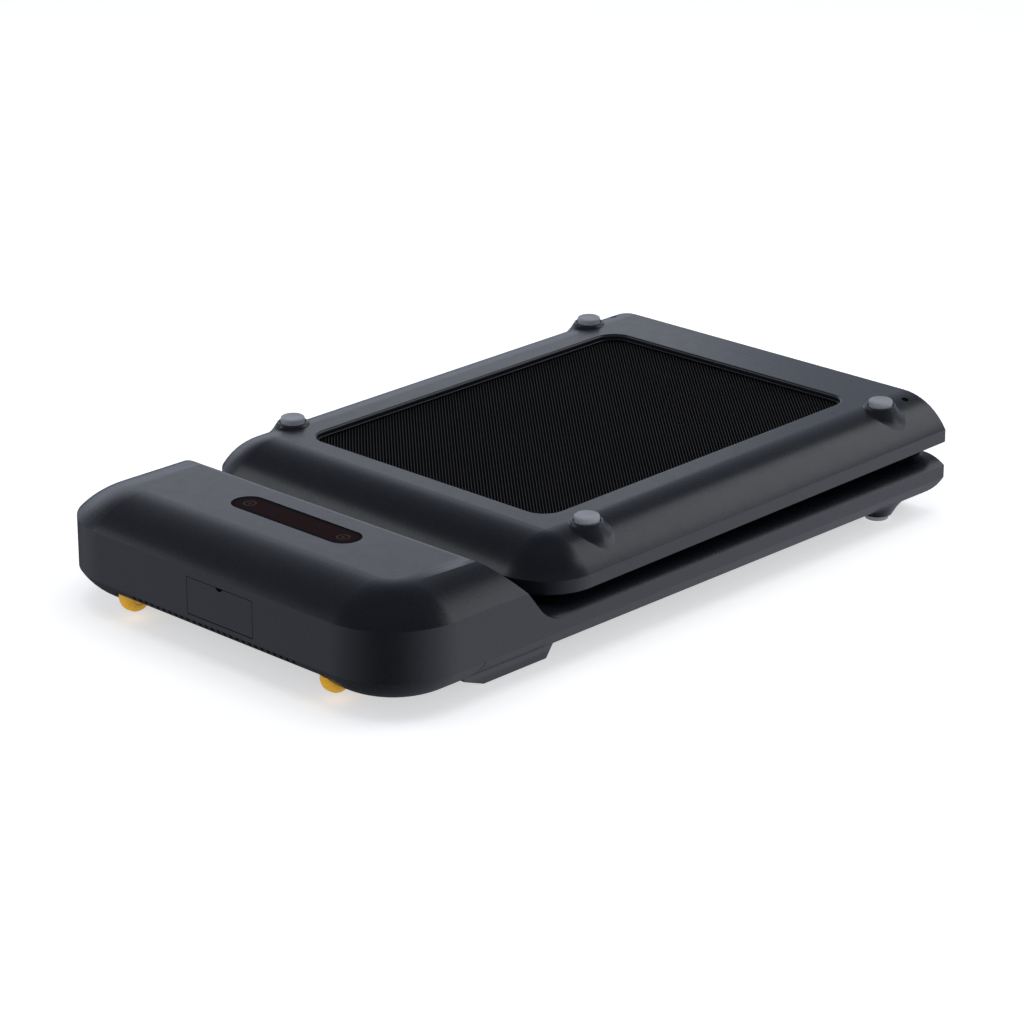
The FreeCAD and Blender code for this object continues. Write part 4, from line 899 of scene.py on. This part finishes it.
class WALKPAD_OT_display(bpy.types.Operator):
    """Finish the smoked window and the boards behind it"""

    bl_idname = "walkpad.display"
    bl_label = "Display"

    def execute(self, context):
        colours = context.scene.walkpad_colours
        dress(("display_lens",), lens_finish(colours.lens))
        dress(BOARD_NODES, board_finish())
        return {"FINISHED"}


class WALKPAD_OT_inlet(bpy.types.Operator):
    """Finish the inlet recess, its socket and the rocker"""

    bl_idname = "walkpad.inlet"
    bl_label = "Inlet and rocker"

    def execute(self, context):
        dress(BLACK_NODES, moulded("inlet_black", (0.008, 0.008, 0.009), 0.5, grain=3e-5, scale=2400.0))
        dress(("power_rocker",), rocker_finish())
        return {"FINISHED"}


class WALKPAD_OT_belt(bpy.types.Operator):
    """Make the ribbed walking belt: a run in each half and the lengths that cross the hinge"""

    bl_idname = "walkpad.belt"
    bl_label = "Walking belt"

    def execute(self, context):
        sizes = context.scene.walkpad_sizes
        colours = context.scene.walkpad_colours
        # Lit and shaded copies of one belt rubber: painted highlight on the rib crests, painted shade in
        # the grooves
        materials = (
            moulded("belt_rib_sheen", colours.belt, 0.7, grain=5e-5, scale=1500.0, specular=0.05),
            moulded("belt_groove_shade", colours.groove_shade, 0.85, grain=5e-5, scale=1500.0, specular=0.0),
        )
        hinge = FOLD_POINT.y
        low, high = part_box("belt_front")
        half_width = (high.x - low.x) / 2
        start = hinge - high.y

        def roller(joint, matrix):
            place = matrix @ Vector(JOINTS[joint]["pos_m"])
            return abs(place.y - hinge), place.z

        plain = Matrix.Identity(4)
        fold_roller = roller("front_fold_spin", plain)
        snub_roller = roller("front_snub_spin", plain)
        drive = roller("drive_spin", plain)
        tail = roller("tail_spin", UNFOLDED)
        bottom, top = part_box("front_fold_roller")
        half_thick = sizes.belt_thick / 2
        guide_line = (top.z - bottom.z) / 2 + sizes.belt_gap + half_thick
        end_line = (high.z - low.z) / 2 - half_thick
        front = half_loop(fold_roller, snub_roller, drive, guide_line, end_line, start)
        rear = half_loop(fold_roller, snub_roller, tail, guide_line, end_line, start)
        rear.reverse()

        top_line = front[-1][1]
        return_line = front[0][1]
        bend = FOLD_POINT.z - top_line
        rear_start = FOLDED @ Vector((0, hinge + start, top_line))
        strip = [(hinge - start, top_line)]
        strip += arc((hinge - bend, FOLD_POINT.z), bend, -90, 90, 18)
        strip.append((rear_start.y, rear_start.z))
        reach = FOLD_POINT.z - return_line
        turn = []
        for out, up in arc((0.0, 0.0), 1.0, 90, -90, 36):
            turn.append((hinge - start + start * out, FOLD_POINT.z + reach * up))
        front_run = [(hinge - s, z) for s, z in front]
        rear_run = [(hinge + s, z) for s, z in rear]
        lengths = (
            ("belt_front_run", "front_half", front_run, "belt_front", plain, None),
            ("belt_hinge_front", "front_half", strip[:11], "belt_fold", plain, top_line + half_thick),
            ("belt_hinge_rear", "rear_half", strip[10:], "belt_fold", plain, rear_start.z - half_thick),
            ("belt_rear_run", "rear_half", rear_run, "belt_rear", FOLDED, None),
            ("belt_return_rear", "rear_half", turn[:19], "belt_fold", plain, FOLD_POINT.z + reach),
            ("belt_return_front", "front_half", turn[18:], "belt_fold", plain, return_line),
        )
        offset = 0.0
        for name, body, points, node, matrix, level in lengths:
            route = Route(points)
            work = belt_sheet(route, offset, half_width, sizes)
            bmesh.ops.transform(work, matrix=matrix, verts=work.verts[:])
            piece = add_piece(name, work, materials, body, (node,))
            if level is not None:
                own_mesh(piece)
            offset += route.length()
        return {"FINISHED"}


class WALKPAD_OT_rims(bpy.types.Operator):
    """Make the rounded rims round the belt windows"""

    bl_idname = "walkpad.rims"
    bl_label = "Window rims"

    def execute(self, context):
        sizes = context.scene.walkpad_sizes
        material = frame["nodes"]["rear_bottom_cover"].data.materials[0]
        hinge = FOLD_POINT.y
        for word, near, far, matrix in (
            ("front", hinge - WINDOW_FAR, hinge - WINDOW_NEAR, Matrix.Identity(4)),
            ("rear", hinge + WINDOW_NEAR, hinge + WINDOW_FAR, FOLDED),
        ):
            work = window_rim(near, far, sizes)
            bmesh.ops.transform(work, matrix=matrix, verts=work.verts[:])
            add_piece(word + "_window_rim", work, (material,), word + "_half")
        return {"FINISHED"}


class WALKPAD_OT_feet(bpy.types.Operator):
    """Make the round rubber feet in their bosses"""

    bl_idname = "walkpad.feet"
    bl_label = "Feet"

    def execute(self, context):
        sizes = context.scene.walkpad_sizes
        colours = context.scene.walkpad_colours
        material = moulded("foot_grey", colours.foot, 0.6, grain=5e-5, scale=1600.0)
        for node, body, matrix in (
            ("front_feet", "front_half", Matrix.Identity(4)),
            ("rear_feet", "rear_half", FOLDED),
        ):
            work = bmesh.new()
            for low, high in islands(node, matrix.inverted()):
                radius = (high.x - low.x) / 2
                depth = high.z - low.z
                edge = sizes.foot_round
                bevel = 0.0004
                dish = 0.00035
                profile = [(0.0, depth), (radius - bevel, depth), (radius, depth - bevel)]
                profile += arc((radius - edge, edge), edge, 0, -90, 7)
                profile += [(radius * 0.66, 0.0), (radius * 0.62, dish), (0.0, dish)]
                centre = (low + high) / 2
                place = matrix @ Matrix.Translation((centre.x, centre.y, low.z))
                lathe(work, profile, place)
            bmesh.ops.recalc_face_normals(work, faces=work.faces[:])
            sharpen(work, 35)
            add_piece(node + "_round", work, (material,), body, (node,))
        return {"FINISHED"}


class WALKPAD_OT_bosses(bpy.types.Operator):
    """Make the swept blends between the foot bosses and the crowned covers"""

    bl_idname = "walkpad.bosses"
    bl_label = "Boss blends"

    def execute(self, context):
        material = frame["nodes"]["rear_bottom_cover"].data.materials[0]
        for word, matrix in (("front", Matrix.Identity(4)), ("rear", FOLDED)):
            work = bmesh.new()
            for low, high in islands(word + "_feet", matrix.inverted()):
                boss_blend(work, (low + high) / 2, matrix)
            bmesh.ops.recalc_face_normals(work, faces=work.faces[:])
            sharpen(work, 40)
            add_piece(word + "_boss_blends", work, (material,), word + "_half")
        return {"FINISHED"}


class WALKPAD_OT_skids(bpy.types.Operator):
    """Finish the long skids under the console"""

    bl_idname = "walkpad.skids"
    bl_label = "Skids"

    def execute(self, context):
        dress(("front_skids",), skid_finish(context.scene.walkpad_colours.shell))
        return {"FINISHED"}


class WALKPAD_OT_wheels(bpy.types.Operator):
    """Make the two transport wheels with rounded shoulders and dished sides"""

    bl_idname = "walkpad.wheels"
    bl_label = "Wheels"

    def execute(self, context):
        sizes = context.scene.walkpad_sizes
        material = wheel_finish(context.scene.walkpad_colours.wheel)
        bottom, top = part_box("wheel_axles")
        play = 0.0002
        bevel = 0.0004
        dish = 0.0006
        bore = (top.z - bottom.z) / 2 + play
        for node in ("wheel_left", "wheel_right"):
            low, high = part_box(node)
            centre = (low + high) / 2
            radius = (high.z - low.z) / 2
            half = (high.x - low.x) / 2
            shoulder = sizes.wheel_shoulder
            side = [
                (bore, half - bevel),
                (bore + bevel, half),
                (radius * 0.36, half),
                (radius * 0.38, half - dish),
                (radius * 0.56, half - dish),
                (radius * 0.58, half),
            ]
            side += arc((radius - shoulder, half - shoulder), shoulder, 90, 0, 12)
            profile = side + [(r, -h) for r, h in reversed(side)]
            work = bmesh.new()
            turn = Matrix.Translation(centre) @ Matrix.Rotation(math.pi / 2, 4, "Y")
            lathe(work, profile, turn, 96)
            bmesh.ops.recalc_face_normals(work, faces=work.faces[:])
            sharpen(work, 35)
            add_piece(node + "_tyre", work, (material,), node, (node,))
        return {"FINISHED"}


class WALKPAD_OT_screws(bpy.types.Operator):
    """Finish the cover screws"""

    bl_idname = "walkpad.screws"
    bl_label = "Cover screws"

    def execute(self, context):
        nodes = ("front_cover_screws", "rear_cover_screws")
        dress(nodes, metal_finish("blackened_screw", (0.05, 0.05, 0.052), 0.38, (1.0, 1.0, 1.0)))
        return {"FINISHED"}


class WALKPAD_OT_frame(bpy.types.Operator):
    """Finish the steel frame, decks, rollers and drive inside the covers"""

    bl_idname = "walkpad.frame"
    bl_label = "Frame and drive"

    def execute(self, context):
        dress(PAINTED_NODES, painted_finish())
        dress(STEEL_NODES, metal_finish("turned_steel", (0.56, 0.56, 0.55), 0.26, (6.0, 0.6, 0.6)))
        dress(ALUMINIUM_NODES, metal_finish("drawn_aluminium", (0.78, 0.79, 0.8), 0.3, (0.5, 5.0, 0.5)))
        dress(ROLLER_NODES, moulded("roller_grey", (0.05, 0.052, 0.055), 0.45, grain=3e-5, scale=1800.0))
        dress(DECK_NODES, wood_finish())
        dress(DAMPER_NODES, moulded("damper_black", (0.012, 0.012, 0.012), 0.7, grain=6e-5, scale=1300.0))
        return {"FINISHED"}


class WALKPAD_OT_stage(bpy.types.Operator):
    """Lay the pale floor, hang soft lights and set the camera"""

    bl_idname = "walkpad.stage"
    bl_label = "Stage"

    def execute(self, context):
        stage = context.scene.walkpad_stage
        scene = context.scene
        work = bmesh.new()
        bmesh.ops.create_grid(work, x_segments=1, y_segments=1, size=stage.floor / 2)
        mesh = bpy.data.meshes.new("backdrop_floor")
        work.to_mesh(mesh)
        work.free()
        mesh.materials.append(floor_finish())
        floor = bpy.data.objects.new("backdrop_floor", mesh)
        floor.location.z = -FLOOR_DROP
        floor.visible_glossy = False
        scene.collection.objects.link(floor)

        world = bpy.data.worlds.new("studio")
        world.use_nodes = True
        sky = NodeSheet(world.node_tree)
        place = sky.node("ShaderNodeTexCoord", {}, {}, "Generated")
        east = sky.node("ShaderNodeSeparateXYZ", {}, {0: place}, "X")
        north = sky.node("ShaderNodeSeparateXYZ", {}, {0: place}, "Y")
        rise = sky.node("ShaderNodeSeparateXYZ", {}, {0: place}, "Z")
        right = east * LIT_SIDE[0] + north * LIT_SIDE[1]
        low_light = rise.below(0.5, 0.34)
        above = sky.mix(low_light, (0.09, 0.1, 0.12, 1.0), (0.55, 0.6, 0.73, 1.0))
        shade = right * right * 0.62 + right * 0.22 + 0.06
        under = sky.mix(shade, (0.0, 0.0, 0.0, 1.0), (1.45, 1.52, 1.75, 1.0))
        glow = sky.mix(rise.below(-0.06, 0.06), above, under)
        background = sky.node("ShaderNodeBackground", {}, {"Color": glow})
        output = sky.tree.nodes.new("ShaderNodeOutputWorld")
        sky.tree.links.new(background.socket, output.inputs["Surface"])
        scene.world = world
        scene.view_settings.view_transform = "Standard"

        for name, azimuth, elevation, away, wide, tall, power, mirrored in PANELS:
            light = bpy.data.lights.new(name, "AREA")
            light.shape = "RECTANGLE"
            light.size = wide
            light.size_y = tall
            light.energy = power
            light.color = PANEL_COLOUR
            panel = bpy.data.objects.new(name, light)
            panel.visible_glossy = mirrored
            back = bearing(math.radians(azimuth), math.radians(elevation))
            panel.location = AIM + back * away
            panel.rotation_euler = back.to_track_quat("Z", "Y").to_euler()
            scene.collection.objects.link(panel)

        lens = bpy.data.cameras.new("camera")
        lens.sensor_width = 36.0
        lens.lens = stage.focal
        lens.shift_x = LENS_SHIFT[0]
        lens.shift_y = LENS_SHIFT[1]
        lens.clip_end = 200.0
        camera = bpy.data.objects.new("camera", lens)
        camera.location = AIM + bearing(stage.azimuth, stage.elevation) * stage.distance
        camera.rotation_euler = (math.pi / 2 - stage.elevation, 0.0, stage.azimuth)
        scene.collection.objects.link(camera)
        scene.camera = camera
        return {"FINISHED"}


PIECE_OPERATORS = (
    WALKPAD_OT_shells,
    WALKPAD_OT_display,
    WALKPAD_OT_inlet,
    WALKPAD_OT_belt,
    WALKPAD_OT_rims,
    WALKPAD_OT_bosses,
    WALKPAD_OT_feet,
    WALKPAD_OT_skids,
    WALKPAD_OT_wheels,
    WALKPAD_OT_screws,
    WALKPAD_OT_frame,
    WALKPAD_OT_stage,
)


class WALKPAD_PT_sidebar(bpy.types.Panel):
    """Lists the pad's pieces, sizes and colours"""

    bl_idname = "WALKPAD_PT_sidebar"
    bl_label = "Walking pad"
    bl_space_type = "VIEW_3D"
    bl_region_type = "UI"
    bl_category = "Walking pad"

    def draw(self, context):
        layout = self.layout
        scene = context.scene
        for operator in PIECE_OPERATORS:
            layout.operator(operator.bl_idname)
        for group in (scene.walkpad_colours, scene.walkpad_sizes, scene.walkpad_stage):
            box = layout.box()
            for name in group.__annotations__:
                box.prop(group, name)


CLASSES = (PadColours, PadSizes, PadStage) + PIECE_OPERATORS + (WALKPAD_PT_sidebar,)


def register():
    for item in CLASSES:
        bpy.utils.register_class(item)
    bpy.types.Scene.walkpad_colours = PointerProperty(type=PadColours)
    bpy.types.Scene.walkpad_sizes = PointerProperty(type=PadSizes)
    bpy.types.Scene.walkpad_stage = PointerProperty(type=PadStage)


def unregister():
    del bpy.types.Scene.walkpad_stage
    del bpy.types.Scene.walkpad_sizes
    del bpy.types.Scene.walkpad_colours
    for item in reversed(CLASSES):
        bpy.utils.unregister_class(item)


def main():
    register()
    bpy.ops.walkpad.shells()
    bpy.ops.walkpad.display()
    bpy.ops.walkpad.inlet()
    bpy.ops.walkpad.belt()
    bpy.ops.walkpad.rims()
    bpy.ops.walkpad.bosses()
    bpy.ops.walkpad.feet()
    bpy.ops.walkpad.skids()
    bpy.ops.walkpad.wheels()
    bpy.ops.walkpad.screws()
    bpy.ops.walkpad.frame()
    bpy.ops.walkpad.stage()


if __name__ == "__main__":
    main()
